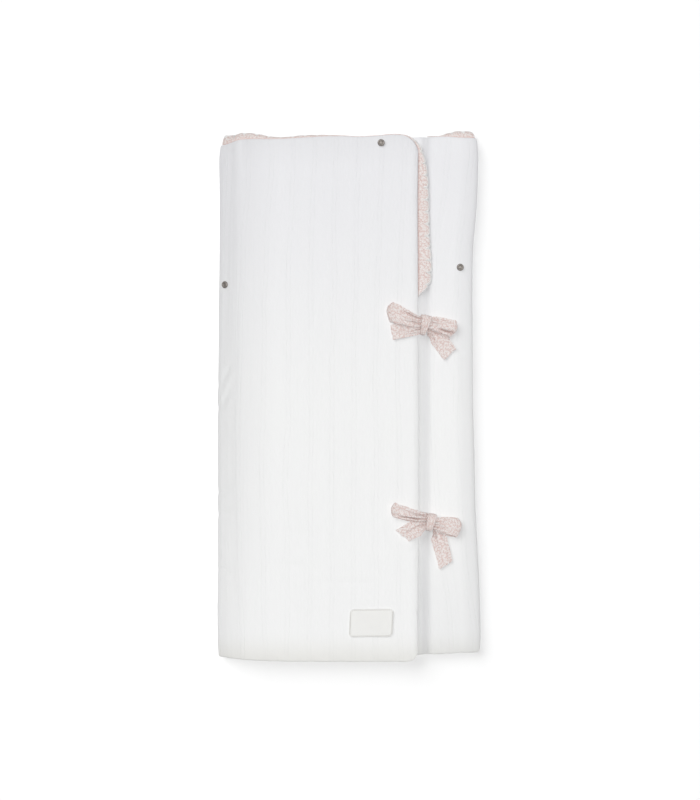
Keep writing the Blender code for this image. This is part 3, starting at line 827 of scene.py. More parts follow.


# %% [markdown]
# ### The relief of the muslin
# A bump map can't change an outline or catch light from the side, so whatever is deeper than a
# yarn is real relief on the outer face: the grooves of the stripes, lengthwise crinkles, slow
# undulations of the padding, puckers along the seam, and a table of soft creases that were pressed
# or pulled in: where each lies, how it is turned, how long, wide and deep it is. The
# finish also reads a soft shade that is worked out at each point beside the folds.

# %% Creases and troughs
Crease = namedtuple("Crease", "x y turn length width depth")
CREASES = (
    # the folded-in third sinks along the flap's free edge, most towards the bottom
    Crease(0.1090, 0.0000, 90.0, 1.600, 0.0130, 0.0022),
    Crease(0.1090, -0.3100, 90.0, 0.240, 0.0130, 0.0010),
    # pulled by the lower bow
    Crease(0.0600, -0.2415, 65.0, 0.042, 0.0050, 0.0011),
    Crease(0.0896, -0.2135, 54.0, 0.026, 0.0050, 0.0011),
    Crease(0.0476, -0.1925, 90.0, 0.046, 0.0060, 0.0008),
    Crease(0.0820, -0.2020, 10.0, 0.024, 0.0070, -0.0009),
    Crease(0.0740, -0.2260, 40.0, 0.024, 0.0060, -0.0007),
    # slow troughs across the flap
    Crease(-0.0030, -0.2610, 2.0, 0.075, 0.0100, 0.0010),
    Crease(-0.0760, -0.2370, -4.0, 0.050, 0.0090, 0.0008),
    Crease(-0.0700, -0.1925, 5.0, 0.055, 0.0120, 0.0006),
    Crease(0.0350, -0.2860, -3.0, 0.060, 0.0100, -0.0008),
    # on the slope above the left fold
    Crease(-0.1700, 0.0300, 62.0, 0.034, 0.0060, 0.0016),
    Crease(-0.1720, -0.0060, 62.0, 0.036, 0.0060, 0.0016),
    Crease(-0.1690, 0.0120, 60.0, 0.030, 0.0060, -0.0012),
    Crease(-0.1730, -0.1310, 25.0, 0.026, 0.0070, 0.0014),
    Crease(-0.1730, -0.1640, 20.0, 0.026, 0.0080, 0.0014),
    Crease(-0.1740, -0.2440, 8.0, 0.022, 0.0040, 0.0018),
    # on the folded-in third, beside the upper bow
    Crease(0.1554, 0.0637, 20.0, 0.020, 0.0040, 0.0010),
    Crease(0.1540, 0.0560, 16.0, 0.018, 0.0040, -0.0008),
    # a nick in the flap's free edge
    Crease(0.0960, -0.3020, 0.0, 0.010, 0.0040, 0.0016),
)


def crease_depth(x, y):
    """How deep the outer face lies at each point, from all the creases."""
    depth = np.zeros_like(x)
    for crease in CREASES:
        along, beside = turned(x - crease.x, y - crease.y, -math.radians(crease.turn))
        reach = (along / (crease.length / 2)) ** 2 + (beside / (crease.width / 2)) ** 2
        depth += crease.depth * np.exp(-reach)
    return depth


# %% Relief of the outer face
WANDER = 3.0 * MM
WANDER_SIZE = (0.15, 0.22)  # how big its noise is across the cloth and along it
STRIPE_DEPTH = 0.14 * MM
STRIPE_GROOVE = 3.2 * MM
CRINKLE_DEPTH = 0.22 * MM
CRINKLE_SIZE = (0.0060, 0.11)
SWELL = 0.9 * MM
SWELL_SIZE = (0.075, 0.090)
PUCKER = 0.5 * MM
PUCKER_SIZE = (0.009, 0.009)
EDGE_BLUNT = 0.45  # how round the turned seam is, where 1 is a half circle
# the painted shade that the blanket's points carry: beside the flap's edge, towards the near end, on
# the right fold's roll, on the slope and past the bend, and along the flap's top hem
SHADE_RISE = 9.0 * MM  # beside the flap's edge its shade is weaker, as light comes back off it
SHADE_FULL = 12.5 * MM  # how far the shade is at its full strength, and its soft end
SHADE_FADE = 7.0 * MM
ROLL_WIDE = 28.0 * MM  # the right fold's roll, in from the outline, and its soft ends
ROLL_RISE = 13.0 * MM
ROLL_EDGE = 6.0 * MM
BEND_STARTS = 17.0 * MM  # the flap's bend at the top of its slope, in from the left outline
BEND_WIDE = 12.0 * MM
BEND_FADES = 60.0 * MM
SLOPE_SHADE = 0.30
BEND_SHADES = (0.18, 0.54)  # past the bend, at the near end and from half way along
EDGE_SHADES = (1.30, 1.05)  # beside the flap's edge, at the near end and further on
ROLL_SHADES = (0.72, 0.34)  # where the right fold rolls down, at the near and the far end
NEAR_END_SHADE = 0.45
TOP_HEM_SHADE = 0.42


def smooth_noise(across, along, size, layer):
    """Smooth noise from -1 to 1 at each point, with its own size in each direction."""
    places = zip((across / size[0]).ravel(), (along / size[1]).ravel())
    values = [noise.noise(Vector((a, b, layer))) for a, b in places]
    return as_grid(values, len(across))


def flat_places(middle):
    """Where each point lies on the flat cloth: across from the flap's edge, and along."""
    steps = np.linalg.norm(np.diff(middle, axis=0), axis=2)
    across = np.zeros(middle.shape[:2])
    across[1:] = np.cumsum(steps, axis=0)
    along = middle[:, :, 1]
    across = across + WANDER * smooth_noise(across, along, WANDER_SIZE, 1.5)
    return np.stack((across, along), axis=2)


def relief_of(middle, flat, to_seam):
    """How far the outer face stands out of the padded form, in metres."""
    across, along = flat[:, :, 0], flat[:, :, 1]
    turns = (across - FIRST_STRIPE) / STRIPE_PITCH
    from_stripe = np.abs(turns - np.round(turns)) * STRIPE_PITCH
    inside = np.clip(to_seam / HEM_MARGIN, 0.0, 1.0)
    relief = -STRIPE_DEPTH * np.exp(-((from_stripe / STRIPE_GROOVE) ** 2))
    relief += CRINKLE_DEPTH * smooth_noise(across, along, CRINKLE_SIZE, 4.5)
    relief += SWELL * smooth_noise(across, along, SWELL_SIZE, 8.5) * inside
    relief -= PUCKER * (1.0 - inside) * smooth_noise(across, along, PUCKER_SIZE, 12.5)
    return relief - crease_depth(middle[:, :, 0], middle[:, :, 1])


def shade_on_flap(inside, along):
    """Painted shade of the slope and of the flap past its bend, at a distance in from the left outline.
    """
    bend_ends = BEND_STARTS + BEND_WIDE
    on_slope = SLOPE_SHADE * ease(along, 0.15, 0.45) * (1.0 - 0.5 * ease(along, 0.70, 0.95))
    past_bend = mix(*BEND_SHADES, ease(along, 0.0, 0.5))
    shade = mix(on_slope, past_bend, ease(inside, BEND_STARTS, bend_ends))
    return shade * (1.0 - ease(inside, bend_ends, bend_ends + BEND_FADES))


def shade_on_panel(past, inside, along):
    """Painted shade beside the flap's edge, towards the near end, and where the right fold rolls down.
    """
    beside = mix(*EDGE_SHADES, ease(along, 0.02, 0.42)) * ease(past / SHADE_RISE)
    beside *= 1.0 - ease(past, SHADE_FULL, SHADE_FULL + SHADE_FADE)
    rolls = mix(*ROLL_SHADES, along) * ease((ROLL_WIDE - inside) / ROLL_RISE) * ease(inside / ROLL_EDGE)
    near_end = NEAR_END_SHADE * (1.0 - ease(along, 0.0, 0.34))
    return beside + near_end * (1.0 - rolls) + rolls


def fold_shade(middle):
    """How much painted shade each place gets, for lying in the shade of a fold or of the layer over it.
    """
    shades = np.zeros(middle.shape[:2])
    for column, (stretch, _) in enumerate(cloth_stations()):
        for row in range(middle.shape[1]):
            x, y = middle[column, row, 0], middle[column, row, 1]
            along = length_share_at(y)
            from_left = x - side_at("left", along)
            from_right = side_at("right", along) - x
            if stretch in ("panel", "right_fold"):
                past = x - side_at("flap_edge", along)
                shades[column, row] = shade_on_panel(past, from_right, along)
            elif stretch != "back":
                shades[column, row] = shade_on_flap(from_left, along)
            if stretch == "flap":
                shades[column, row] += TOP_HEM_SHADE * ease(along, 0.93, 1.0)
    return shades


def make_blanket():
    flat = flat_places(cloth_middle)
    normals = across_normals(cloth_middle)
    half = cloth_thickness[:, :, None] / 2
    relief = relief_of(cloth_middle, flat, cloth_to_seam)[:, :, None]
    front = cloth_middle + normals * (half + relief)
    front[:, :, 2] = np.maximum(front[:, :, 2], 0.0)
    back = cloth_middle - normals * half
    blanket = close_sheet("muslin_blanket", front, back, flat, muslin, EDGE_BLUNT)
    # painted shade beside the folds and the flap's edge, which the muslin reads
    shade_piece(blanket, fold_shade(cloth_middle).ravel())
    sew_on(blanket, "blanket")


make_blanket()

# %% [markdown]
# ## The scalloped trim
# On the real blanket this is a strip of printed cotton whose free edge is embroidered in round
# scallops and whose raw edge is caught in the blanket's seam. It can be made as a grid that
# follows the seam: one direction runs along it, the other leaves it straight out and bends down
# under its own weight. How far it stands out and how far it bends changes along the seam, so
# three short tables say that, one for the flap's edge and one for each top hem.

# %% How the trim lies
TRIM_WIDTH = 17.0 * MM
TRIM_THICK = 1.0 * MM
TRIM_CLEAR = 0.5 * MM
SCALLOP_PITCH = 17.0 * MM
SCALLOP_DEPTH = 10.0 * MM
SCALLOP_STEPS = 16
TRIM_ROWS = 10
TRIM_EDGE_RUN = 0.204  # how far the trim runs down the flap's free edge
TRIM_TAPER = 0.021  # how far from its lower end it stands out fully
TRIM_PANEL_SHARE = 0.155  # share of the folded-in third's hem that has a trim

# a distance up the flap's edge from the trim's lower end, or X along a hem, and how far the trim
# stands out and hangs down there
Lie = namedtuple("Lie", "at out down")
TRIM_LIE_AT_FLAP_EDGE = (
    Lie(0.0000, 0.0000, 0.0000),
    Lie(TRIM_TAPER, TRIM_WIDTH, 0.0038),
    Lie(0.0900, 0.0160, 0.0042),
    Lie(0.1600, 0.0138, 0.0042),
    Lie(0.1850, 0.0108, 0.0032),
    Lie(TRIM_EDGE_RUN, 0.0052, 0.0012),
)
TRIM_LIE_ON_FLAP_TOP = (
    Lie(-0.1860, 0.0150, 0.0050),
    Lie(-0.1640, 0.0112, 0.0110),
    Lie(-0.1300, 0.0076, 0.0125),
    Lie(-0.1090, 0.0038, 0.0140),
    Lie(-0.0880, 0.0026, 0.0150),
    Lie(-0.0670, 0.0034, 0.0150),
    Lie(-0.0300, 0.0022, 0.0145),
    Lie(0.0000, 0.0006, 0.0140),
    Lie(0.0400, 0.0004, 0.0110),
    Lie(0.0600, 0.0008, 0.0080),
    Lie(0.0850, 0.0016, 0.0020),
    Lie(0.0930, 0.0028, 0.0014),
    Lie(0.0970, 0.0056, 0.0012),
)
TRIM_LIE_ON_PANEL_TOP = (
    Lie(0.1180, 0.0003, 0.0004),
    Lie(0.1270, 0.0008, 0.0050),
    Lie(0.1390, 0.0047, 0.0095),
    Lie(0.1520, 0.0088, 0.0108),
    Lie(0.1700, 0.0093, 0.0108),
    Lie(0.1790, 0.0076, 0.0090),
    Lie(0.1830, 0.0052, 0.0070),
)

# %% The seams that the trim is sewn in
SEAM_SAMPLES = 40
RAMP_SAMPLES = 8
FOLD_SAMPLES = 5
LEFT_FOLD_SEWN = 0.4  # share of each fold's turn that the trim runs on round
RIGHT_FOLD_SEWN = 0.5
TO_NEIGHBOUR = 0.01  # share of a stretch, to the places that give the direction of a bend
CORNER_CROWDING = 1.5  # brings the samples closer together towards the flap's corner
Seam = namedtuple("Seam", "point out down")
DOWN = Vector((0, 0, -1))
UP_THE_CLOTH = Vector((0, 1, 0))


def top_hem_place(stretch, share):
    x, z = fold_point(stretch, share, 1.0)
    return Vector((x, hem_y(stretch, share, "top"), z - sink(SEAM_SHARE)))


def fold_seam(stretch, shares):
    """The top seam over a bend, where the trim turns in towards the layers below."""
    seam = []
    for share in shares:
        before = fold_point(stretch, share - TO_NEIGHBOUR, 1.0)
        after = fold_point(stretch, share + TO_NEIGHBOUR, 1.0)
        inward = Vector((before[1] - after[1], 0, after[0] - before[0])).normalized()
        seam.append(Seam(top_hem_place(stretch, share), UP_THE_CLOTH, inward))
    return seam


def flap_seam():
    """Up the flap's free edge, round its corner and along its top into the left fold."""
    corner_y = hem_y("flap", 0.0, "top")
    seam = []
    for y in spread(corner_y - TRIM_EDGE_RUN, corner_y, SEAM_SAMPLES):
        edge, z = fold_point("flap", 0.0, length_share_at(y))
        seam.append(Seam(Vector((edge, y, z - sink(SEAM_SHARE))), Vector((1, 0, 0)), DOWN))
    for step in spread(0.0, 1.0, SEAM_SAMPLES)[1:]:
        point = top_hem_place("flap", step**CORNER_CROWDING)
        along = point - seam[-1].point
        seam.append(Seam(point, Vector((along.y, -along.x, 0)).normalized(), DOWN))
    seam += fold_seam("ramp", spread(0.0, 1.0, RAMP_SAMPLES)[1:-1])
    return seam + fold_seam("left_fold", spread(0.0, LEFT_FOLD_SEWN, FOLD_SAMPLES))


def panel_seam():
    """Along the top of the folded-in third into the right fold."""
    shares = spread(TRIM_PANEL_SHARE, 0.0, SEAM_SAMPLES)
    seam = [Seam(top_hem_place("panel", share), UP_THE_CLOTH, DOWN) for share in shares]
    return seam + fold_seam("right_fold", spread(1.0, 1.0 - RIGHT_FOLD_SEWN, FOLD_SAMPLES)[1:])


def even_seam(seam, step):
    """The seam at even steps, as pairs of the distance along it and the place."""
    lengths = [0.0]
    for before, after in zip(seam, seam[1:]):
        lengths.append(lengths[-1] + (after.point - before.point).length)
    run = []
    part = 0
    for i in range(int(lengths[-1] / step) + 1):
        at = i * step
        while part < len(seam) - 2 and lengths[part + 1] < at:
            part += 1
        share = (at - lengths[part]) / (lengths[part + 1] - lengths[part])
        run.append((at, Seam(*(a.lerp(b, share) for a, b in zip(seam[part], seam[part + 1])))))
    return run


def read_lie(rows, at):
    return read(rows, "at", "out", at), read(rows, "at", "down", at)


def flap_lie(at, point):
    if at <= TRIM_EDGE_RUN:
        return read_lie(TRIM_LIE_AT_FLAP_EDGE, at)
    return read_lie(TRIM_LIE_ON_FLAP_TOP, point.x)


def panel_lie(at, point):
    return read_lie(TRIM_LIE_ON_PANEL_TOP, point.x)


# %% [markdown]
# A round scallop is a half circle between two sharp notches. The strip's width follows that curve
# at its free edge, with small flutes across it because the strip is a little longer than its seam.
# The satin stitch over the edge is a bead of its own: a flattened tube along the scallops, with
# its fibres running across it.

# %% The strip
TRIM_FLUTE = 0.45 * MM
FLUTE_STRAY_SIZE = 11 * MM
FLUTE_WAVE_SIZE = 4.1 * MM
SCALLOPED_SHARE = 0.80  # of the strip's rectangle that is left when the scallops are cut


def scallop(at):
    """Share of the scallop's depth that is there: 1 at its top and 0 at a notch."""
    turn = 2.0 * ((at / SCALLOP_PITCH) % 1.0) - 1.0
    return math.sqrt(max(0.0, 1.0 - turn * turn))


def trim_point(at, place, lie, share):
    """A point of the strip, a share of the way out from the seam."""
    reach, drop = lie
    full = 1.0 - (1.0 - scallop(at)) * SCALLOP_DEPTH / TRIM_WIDTH
    out = place.out.normalized() * (TRIM_CLEAR + reach * math.sin(math.pi / 2 * share * full))
    down = place.down.normalized() * (drop * (share * full) ** 2)
    stray = noise.noise(Vector((at / FLUTE_STRAY_SIZE, 3.3, 0.0)))
    flute = TRIM_FLUTE * (stray + math.sin(at / FLUTE_WAVE_SIZE) * 0.4) * share
    return place.point + out + down - place.down.normalized() * flute


def make_trim(name, node, seam, lie_at):
    run = even_seam(seam, SCALLOP_PITCH / SCALLOP_STEPS)
    middle = []
    flat = []
    for at, place in run:
        lie = lie_at(at, place.point)
        for share in spread(0.0, 1.0, TRIM_ROWS):
            middle.append(trim_point(at, place, lie, share))
            flat.append((at, share * TRIM_WIDTH))
    middle, flat = as_grid(middle, len(run)), as_grid(flat, len(run))
    normals = across_normals(middle) * (TRIM_THICK / 2)
    trim = close_sheet(name, middle + normals, middle - normals, flat, printed_cotton)
    bead = make_bead(f"{name}_satin_edge", run, lie_at)
    for piece in (trim, bead):
        sew_on(piece, node)
    length = run[-1][0]
    SCALLOPED_SHARE * TRIM_WIDTH * length
    print(f"{name}: {length:.3f} m long, {count_triangles(trim)} triangles")


# %% The satin-stitched edge
BEAD_WIDE = 3.0 * MM
BEAD_HIGH = 1.9 * MM
BEAD_AROUND = 10
BEAD_INSET = 1.1 * MM
BEAD_LEAST = 0.35  # size of the bead where the trim hangs straight down
BEAD_FULL_AT = 5.0 * MM  # how far the trim stands out where the bead is at its full size
BEAD_LEAST_REACH = 2.0 * MM


def make_bead(name, run, lie_at):
    """A flattened tube along the scallops, thinner where the trim hangs straight down."""
    centres = []
    outs = []
    sizes = []
    for at, place in run:
        lie = lie_at(at, place.point)
        reach = max(lie[0], BEAD_LEAST_REACH)
        sizes.append(min(1.0, BEAD_LEAST + lie[0] / BEAD_FULL_AT))
        centres.append(trim_point(at, place, lie, 1.0 - BEAD_INSET / reach))
        outs.append(trim_point(at, place, lie, 1.0) - trim_point(at, place, lie, 0.8))
    points = []
    places = []
    travelled = 0.0
    for i, centre in enumerate(centres):
        before, after = centres[max(i - 1, 0)], centres[min(i + 1, len(centres) - 1)]
        ahead = (after - before).normalized()
        lift = ahead.cross(outs[i].normalized()).normalized()
        side = lift.cross(ahead).normalized()
        travelled += (centre - before).length
        half_wide, half_high = BEAD_WIDE / 2 * sizes[i], BEAD_HIGH / 2 * sizes[i]
        points += oval(centre, side * half_wide, lift * half_high, BEAD_AROUND)
        places += [(travelled, place) for place in spread(0.0, BEAD_WIDE, BEAD_AROUND)[:-1]]
    return new_piece(name, points, tube_faces(len(centres), BEAD_AROUND), places, thread)


make_trim("scalloped_trim_flap", "trim_flap", flap_seam(), flap_lie)
make_trim("scalloped_trim_right", "trim_right", panel_seam(), panel_lie)

# %% [markdown]
# ## The bows
# Each bow is two ribbons, one sewn to the flap and one to the folded-in third, tied into a loop
# and a free end each. A ribbon is a grid again: rows cross it, and the path leaves the knot
# squarely and turns to its own heading. It is narrow and pleated where the knot gathers it, and it
# opens out towards its end. A loop runs out along its lower layer, turns, and comes back on top.

# %% Where the bows lie
RIBBON_THICK = 0.8 * MM
KNOT_Z = 31.5 * MM  # height of a knot's middle
# a knot's place and size, and how far it leans, in degrees
Knot = namedtuple("Knot", "bow x y wide tall high lean")
KNOTS = (
    Knot("upper", 0.1058, 0.1000, 0.0126, 0.0300, 0.0130, -13.0),
    Knot("lower", 0.1135, -0.1760, 0.0130, 0.0262, 0.0130, -8.0),
)
ROOT_SINK = 2.0 * MM  # how far inside the knot's side a ribbon starts
# the way from the knot along X, how far a ribbon runs until it lies on the cloth, and the heights
# of a loop and a tail in the knot and where they lie
Rest = namedtuple("Rest", "side outward run loop_root loop_lie tail_root tail_lie")
RESTS = (
    Rest("flap", -1, 8 * MM, 34.6 * MM, FLAP_TOP + 2.2 * MM, 33.4 * MM, FLAP_TOP + 0.9 * MM),
    Rest("panel", 1, 15 * MM, 31.0 * MM, PANEL_TOP + 2.4 * MM, 28.5 * MM, PANEL_TOP + 0.9 * MM),
)
# heading and slant are in degrees. A loop's tip swells outward, its upper layer puffs up over
# the lower one, and the lower one is shifted along Y
Loop = namedtuple("Loop", "bow side root_y heading length root_wide tip_wide slant swell puff shift")
LOOPS = (
    Loop("upper", "flap", 0.1050, 162.4, 0.0445, 0.012, 0.027, 9.2, 0.006, 0.0075, -0.0010),
    Loop("upper", "panel", 0.1025, -10.4, 0.036, 0.015, 0.024, -12.0, 0.005, 0.0090, -0.0040),
    Loop("lower", "flap", -0.1680, 167.5, 0.048, 0.010, 0.019, 7.0, 0.003, 0.0060, -0.0015),
    Loop("lower", "panel", -0.1790, -5.9, 0.034, 0.015, 0.026, 0.0, 0.005, 0.0085, -0.0020),
)
LOOP_ROOT_GAP = 2.4 * MM  # between a loop's two layers in the knot
LOOP_TURN = (0.28, 0.72)  # shares of a loop's path between which it turns over its tip
# straight is the share of its length in which a tail leaves the knot squarely
Tail = namedtuple("Tail", "bow side root_y heading length root_wide tip_wide slant straight")
TAILS = (
    Tail("upper", "flap", 0.0950, 187.6, 0.0420, 0.015, 0.0205, 1.0, 0.30),
    Tail("upper", "panel", 0.0915, -45.8, 0.0449, 0.013, 0.0235, -2.6, 0.21),
    Tail("lower", "flap", -0.1800, 203.0, 0.037, 0.012, 0.024, 28.0, 0.30),
    Tail("lower", "panel", -0.1850, -71.1, 0.0540, 0.020, 0.0215, 10.0, 0.10),
)
GATHERED_SHARE = 0.6  # of its length, in which a ribbon opens out
TURNED_BY = 0.35  # least share of its length in which a ribbon turns to its own direction
STRAIGHT_SHARE = 0.3  # of a loop's length, in which it still leaves the knot squarely
LOOP_STEPS = 72
TAIL_STEPS = 30
RIBBON_COLUMNS = 34
ACROSS = spread(-1.0, 1.0, RIBBON_COLUMNS)


def row_for(rows, **wanted):
    """The one row of a table whose named columns have these values."""
    return next(row for row in rows if all(getattr(row, key) == wanted[key] for key in wanted))


def cloth_top(x, y):
    """Height of the blanket's upper face under a place."""
    along = length_share_at(y)
    edge = side_at("flap_edge", along)
    if x > edge:
        return PANEL_TOP
    return FLAP_TOP - LAYER * (1.0 - padding(edge - x, EDGE_MARGIN))


# %% Ribbon rows
PLEAT_DEPTH = 1.8 * MM
GATHERS_END = 0.95  # share of a ribbon's length where its gathers have run out
WRINKLE = 0.9 * MM
WAVER = 1.5 * MM  # how far the cloth strays sideways
LAYERS_APART = 1.3 * MM  # least height of a loop's upper layer over its lower one
DEEP_CREASE = 5.0 * MM
CREASE_SHADE = 0.44  # how dark the painted shade at the bottom of such a crease is, and at the places named below
ROOT_SHADE = 0.22
ROOT_SHADE_REACH = 0.18
UNDER_SHADE = 0.24
RIBBON_ROOM = 0.6 * MM  # least height of a ribbon's middle over the cloth
UPPER_ROOM = 1.6 * MM  # how much more a loop's upper layer has
LOOP_DROOP = 1.2 * MM  # how far the upper layer hangs down at its sides
TAIL_LIFT = 1.8 * MM  # how far a tail rises towards its cut end
# how far across the ribbon, from -1 to 1, a crease lies, how wide and deep it is, and the shares
# of the ribbon's length between which it runs
Valley = namedtuple("Valley", "across wide depth start end")
VALLEYS = {
    ("upper", "flap", "loop"): (
        Valley(0.55, 0.13, 0.0040, -0.25, 0.70),
        Valley(0.05, 0.15, 0.0016, 0.10, 0.75),
        Valley(-0.42, 0.18, 0.0034, -0.20, 0.45),
    ),
    ("upper", "panel", "loop"): (
        Valley(-0.60, 0.14, 0.0052, 0.52, 1.12),
        Valley(0.62, 0.14, 0.0012, 0.05, 0.90),
        Valley(0.15, 0.16, 0.0014, -0.10, 0.50),
    ),
    ("upper", "flap", "tail"): (
        Valley(0.35, 0.12, 0.0009, 0.15, 1.10),
        Valley(-0.15, 0.12, 0.0008, 0.10, 1.10),
    ),
    ("upper", "panel", "tail"): (
        Valley(-0.55, 0.15, 0.0014, -0.10, 0.70),
        Valley(0.10, 0.14, 0.0010, 0.05, 0.90),
    ),
    ("lower", "flap", "loop"): (
        Valley(-0.60, 0.15, 0.0038, -0.15, 0.85),
        Valley(0.25, 0.16, 0.0010, 0.05, 0.80),
    ),
    ("lower", "flap", "tail"): (
        Valley(0.10, 0.14, 0.0012, 0.05, 1.00),
    ),
    ("lower", "panel", "loop"): (
        Valley(0.45, 0.14, 0.0020, -0.10, 0.60),
        Valley(-0.38, 0.15, 0.0026, -0.10, 0.60),
    ),
    ("lower", "panel", "tail"): (
        Valley(-0.30, 0.14, 0.0012, -0.10, 0.85),
        Valley(0.45, 0.14, 0.0010, 0.00, 1.00),
    ),
}


def ribbon_row(piece, share, width, z, swell=0.0):
    """Points across a ribbon, a share of the way out from its knot."""
    knot = row_for(KNOTS, bow=piece.bow)
    outward = row_for(RESTS, side=piece.side).outward
    heading = math.radians(piece.heading)
    ahead = level(heading)
    root = Vector((knot.x + outward * (knot.wide / 2 - ROOT_SINK), piece.root_y, z))
    straight = getattr(piece, "straight", STRAIGHT_SHARE)
    near = root + Vector((outward * straight * piece.length, 0, 0))
    far = root + ahead * piece.length
    middle = root * (1 - share) ** 2 + near * (2 * share * (1 - share)) + far * share**2
    square = math.pi / 2
    wanted = heading + outward * square + math.radians(piece.slant)
    turn = mix(square, wanted, ease(share / (TURNED_BY + 2.0 * straight)))
    cross = level(turn)
    row = []
    for across in ACROSS:
        rounded = ahead * (swell * (1 - across * across))
        row.append(middle + cross * (across * width / 2) + rounded)
    return row


def pleat(share, across, layer):
    """Height of the gathers that run out of the knot, and of small wrinkles."""
    gathered = (1.0 - ease(share / GATHERS_END)) ** 1.3
    folds = math.cos(math.pi * (2.2 * across + 0.4 + layer))
    fine = noise.noise(Vector((across * 2.4, share * 3.0, layer * 3.7)))
    return PLEAT_DEPTH * gathered * folds + WRINKLE * fine


def valley_depth(piece, part, share, across):
    """How deep the creases are that lie along this ribbon."""
    depth = 0.0
    for valley in VALLEYS[piece.bow, piece.side, part]:
        middle, reach = (valley.start + valley.end) / 2, (valley.end - valley.start) / 2
        along = (share - middle) / reach
        beside = (across - valley.across) / valley.wide
        depth += valley.depth * math.exp(-(along**4) - beside**2)
    return depth


def waver(share, across, layer):
    """How far the cloth strays sideways, more towards its end."""
    stray = noise.noise(Vector((share * 3.1, across * 1.3, layer * 5.3 + 2.0)))
    return WAVER * stray * ease(share / 0.5)


def settle(piece, share, root_z, lie_z):
    """Height of a ribbon that leaves the knot at root_z and comes to lie at lie_z."""
    run = row_for(RESTS, side=piece.side).run
    return mix(root_z, lie_z, ease(share * piece.length / run))


def rest_on_cloth(point, room):
    """Lifts a point that would sink into the blanket."""
    point.z = max(point.z, cloth_top(point.x, point.y) + room)


def ribbon_shade(depth, share):
    """How dark the painted shade is: in a deep crease, and close to the knot."""
    near_knot = 1.0 - ease(share / ROOT_SHADE_REACH)
    return min(1.0, CREASE_SHADE * depth / DEEP_CREASE + ROOT_SHADE * near_knot)


def loop_points(loop, layer):
    """Out along the lower layer, round the tip and back along the upper one."""
    rest = row_for(RESTS, side=loop.side)
    rows = []
    shades = []
    for along in spread(0.0, 1.0, LOOP_STEPS):
        open_out = math.sin(math.pi * along)
        share = open_out**0.85
        opened = ease(share / GATHERED_SHARE)
        upper = ease(along, *LOOP_TURN)
        lie = settle(loop, share, rest.loop_root, rest.loop_lie)
        z = lie + upper * mix(LOOP_ROOT_GAP, loop.puff, opened)
        width = mix(loop.root_wide, loop.tip_wide, open_out**0.7)
        row = ribbon_row(loop, share, width, z, loop.swell * open_out**4)
        for point, across in zip(row, ACROSS):
            gathers = pleat(share, across, layer)
            crease = valley_depth(loop, "loop", share, across) * upper
            point.x += waver(share, across, layer + 7.0)
            point.y += loop.shift * (1.0 - upper) * opened + waver(share, across, layer + upper)
            point.z += gathers * (0.4 + 0.6 * upper)
            point.z -= crease
            point.z = max(point.z, lie + 0.4 * gathers + LAYERS_APART * upper)
            point.z -= LOOP_DROOP * across**2 * upper * opened
            rest_on_cloth(point, RIBBON_ROOM + upper * UPPER_ROOM)
            # painted shade: in creases, near the knot, and on a loop's lower layer under the upper one
            shades.append(max(ribbon_shade(crease, share), UNDER_SHADE * (1.0 - upper)))
        rows.append(row)
    return rows, shades


def tail_points(tail, layer):
    """From the knot out to the cut end."""
    rest = row_for(RESTS, side=tail.side)
    rows = []
    shades = []
    for share in spread(0.0, 1.0, TAIL_STEPS):
        z = settle(tail, share, rest.tail_root, rest.tail_lie)
        width = mix(tail.root_wide, tail.tip_wide, ease(share / GATHERED_SHARE))
        row = ribbon_row(tail, share, width, z)
        for point, across in zip(row, ACROSS):
            crease = valley_depth(tail, "tail", share, across)
            point.x += waver(share, across, layer + 9.0)
            point.y += waver(share, across, layer + 3.0)
            point.z += pleat(share, across, layer) + TAIL_LIFT * ease(share * 1.5)
            point.z -= crease
            rest_on_cloth(point, RIBBON_ROOM)
            shades.append(ribbon_shade(crease, share))
        rows.append(row)
    return rows, shades


# %% Ribbon sheets
RIBBON_INSET = 5.0 * MM  # keeps the print's painted seam shade, which only the trim has, off it


def make_ribbon(name, node, path, full_width):
    rows, shades = path
    middle = np.array([[tuple(point) for point in row] for row in rows])
    steps = np.linalg.norm(np.diff(middle, axis=0), axis=2).mean(axis=1)
    travelled = np.concatenate(([0.0], np.cumsum(steps)))
    across = np.array(spread(RIBBON_INSET, RIBBON_INSET + full_width, RIBBON_COLUMNS))
    flat = np.stack(np.meshgrid(travelled, across, indexing="ij"), axis=2)
    normals = across_normals(middle) * (RIBBON_THICK / 2)
    ribbon = close_sheet(name, middle + normals, middle - normals, flat, printed_cotton)
    shade_piece(ribbon, shades + shades)  # its front and its back
    sew_on(ribbon, node)
    print(f"{name}: {full_width * 1000:.0f} mm wide, {travelled[-1] * 1000:.0f} mm long")


# %% [markdown]
# ### The knots
# A knot is the ribbon wrapped once round the gathered middle of the bow. Seen from above it is a
# small plump band with folds that run over it. Rings stacked sideways make it: each ring is an
# oval round the ribbons, and its size changes from ring to ring, which gives the folds.

# %% Knots
KNOT_RINGS = 28
KNOT_AROUND = 44
KNOT_WEDGE = 0.36  # how much wider a knot is at its far end
KNOT_FOLD_DEPTH = 0.10
KNOT_CRUMPLE = 0.06
KNOT_SHADE = 0.2
KNOT_RING_APART = 0.9 * MM  # on the flat cloth, from ring to ring and from point to point
KNOT_POINT_APART = 1.7 * MM


def knot_fold(across):
    """How deep the folds are that run over a knot: 1 in a valley and 0 on a ridge."""
    return 0.5 + 0.5 * math.cos(2.6 * math.pi * (across + 0.20))


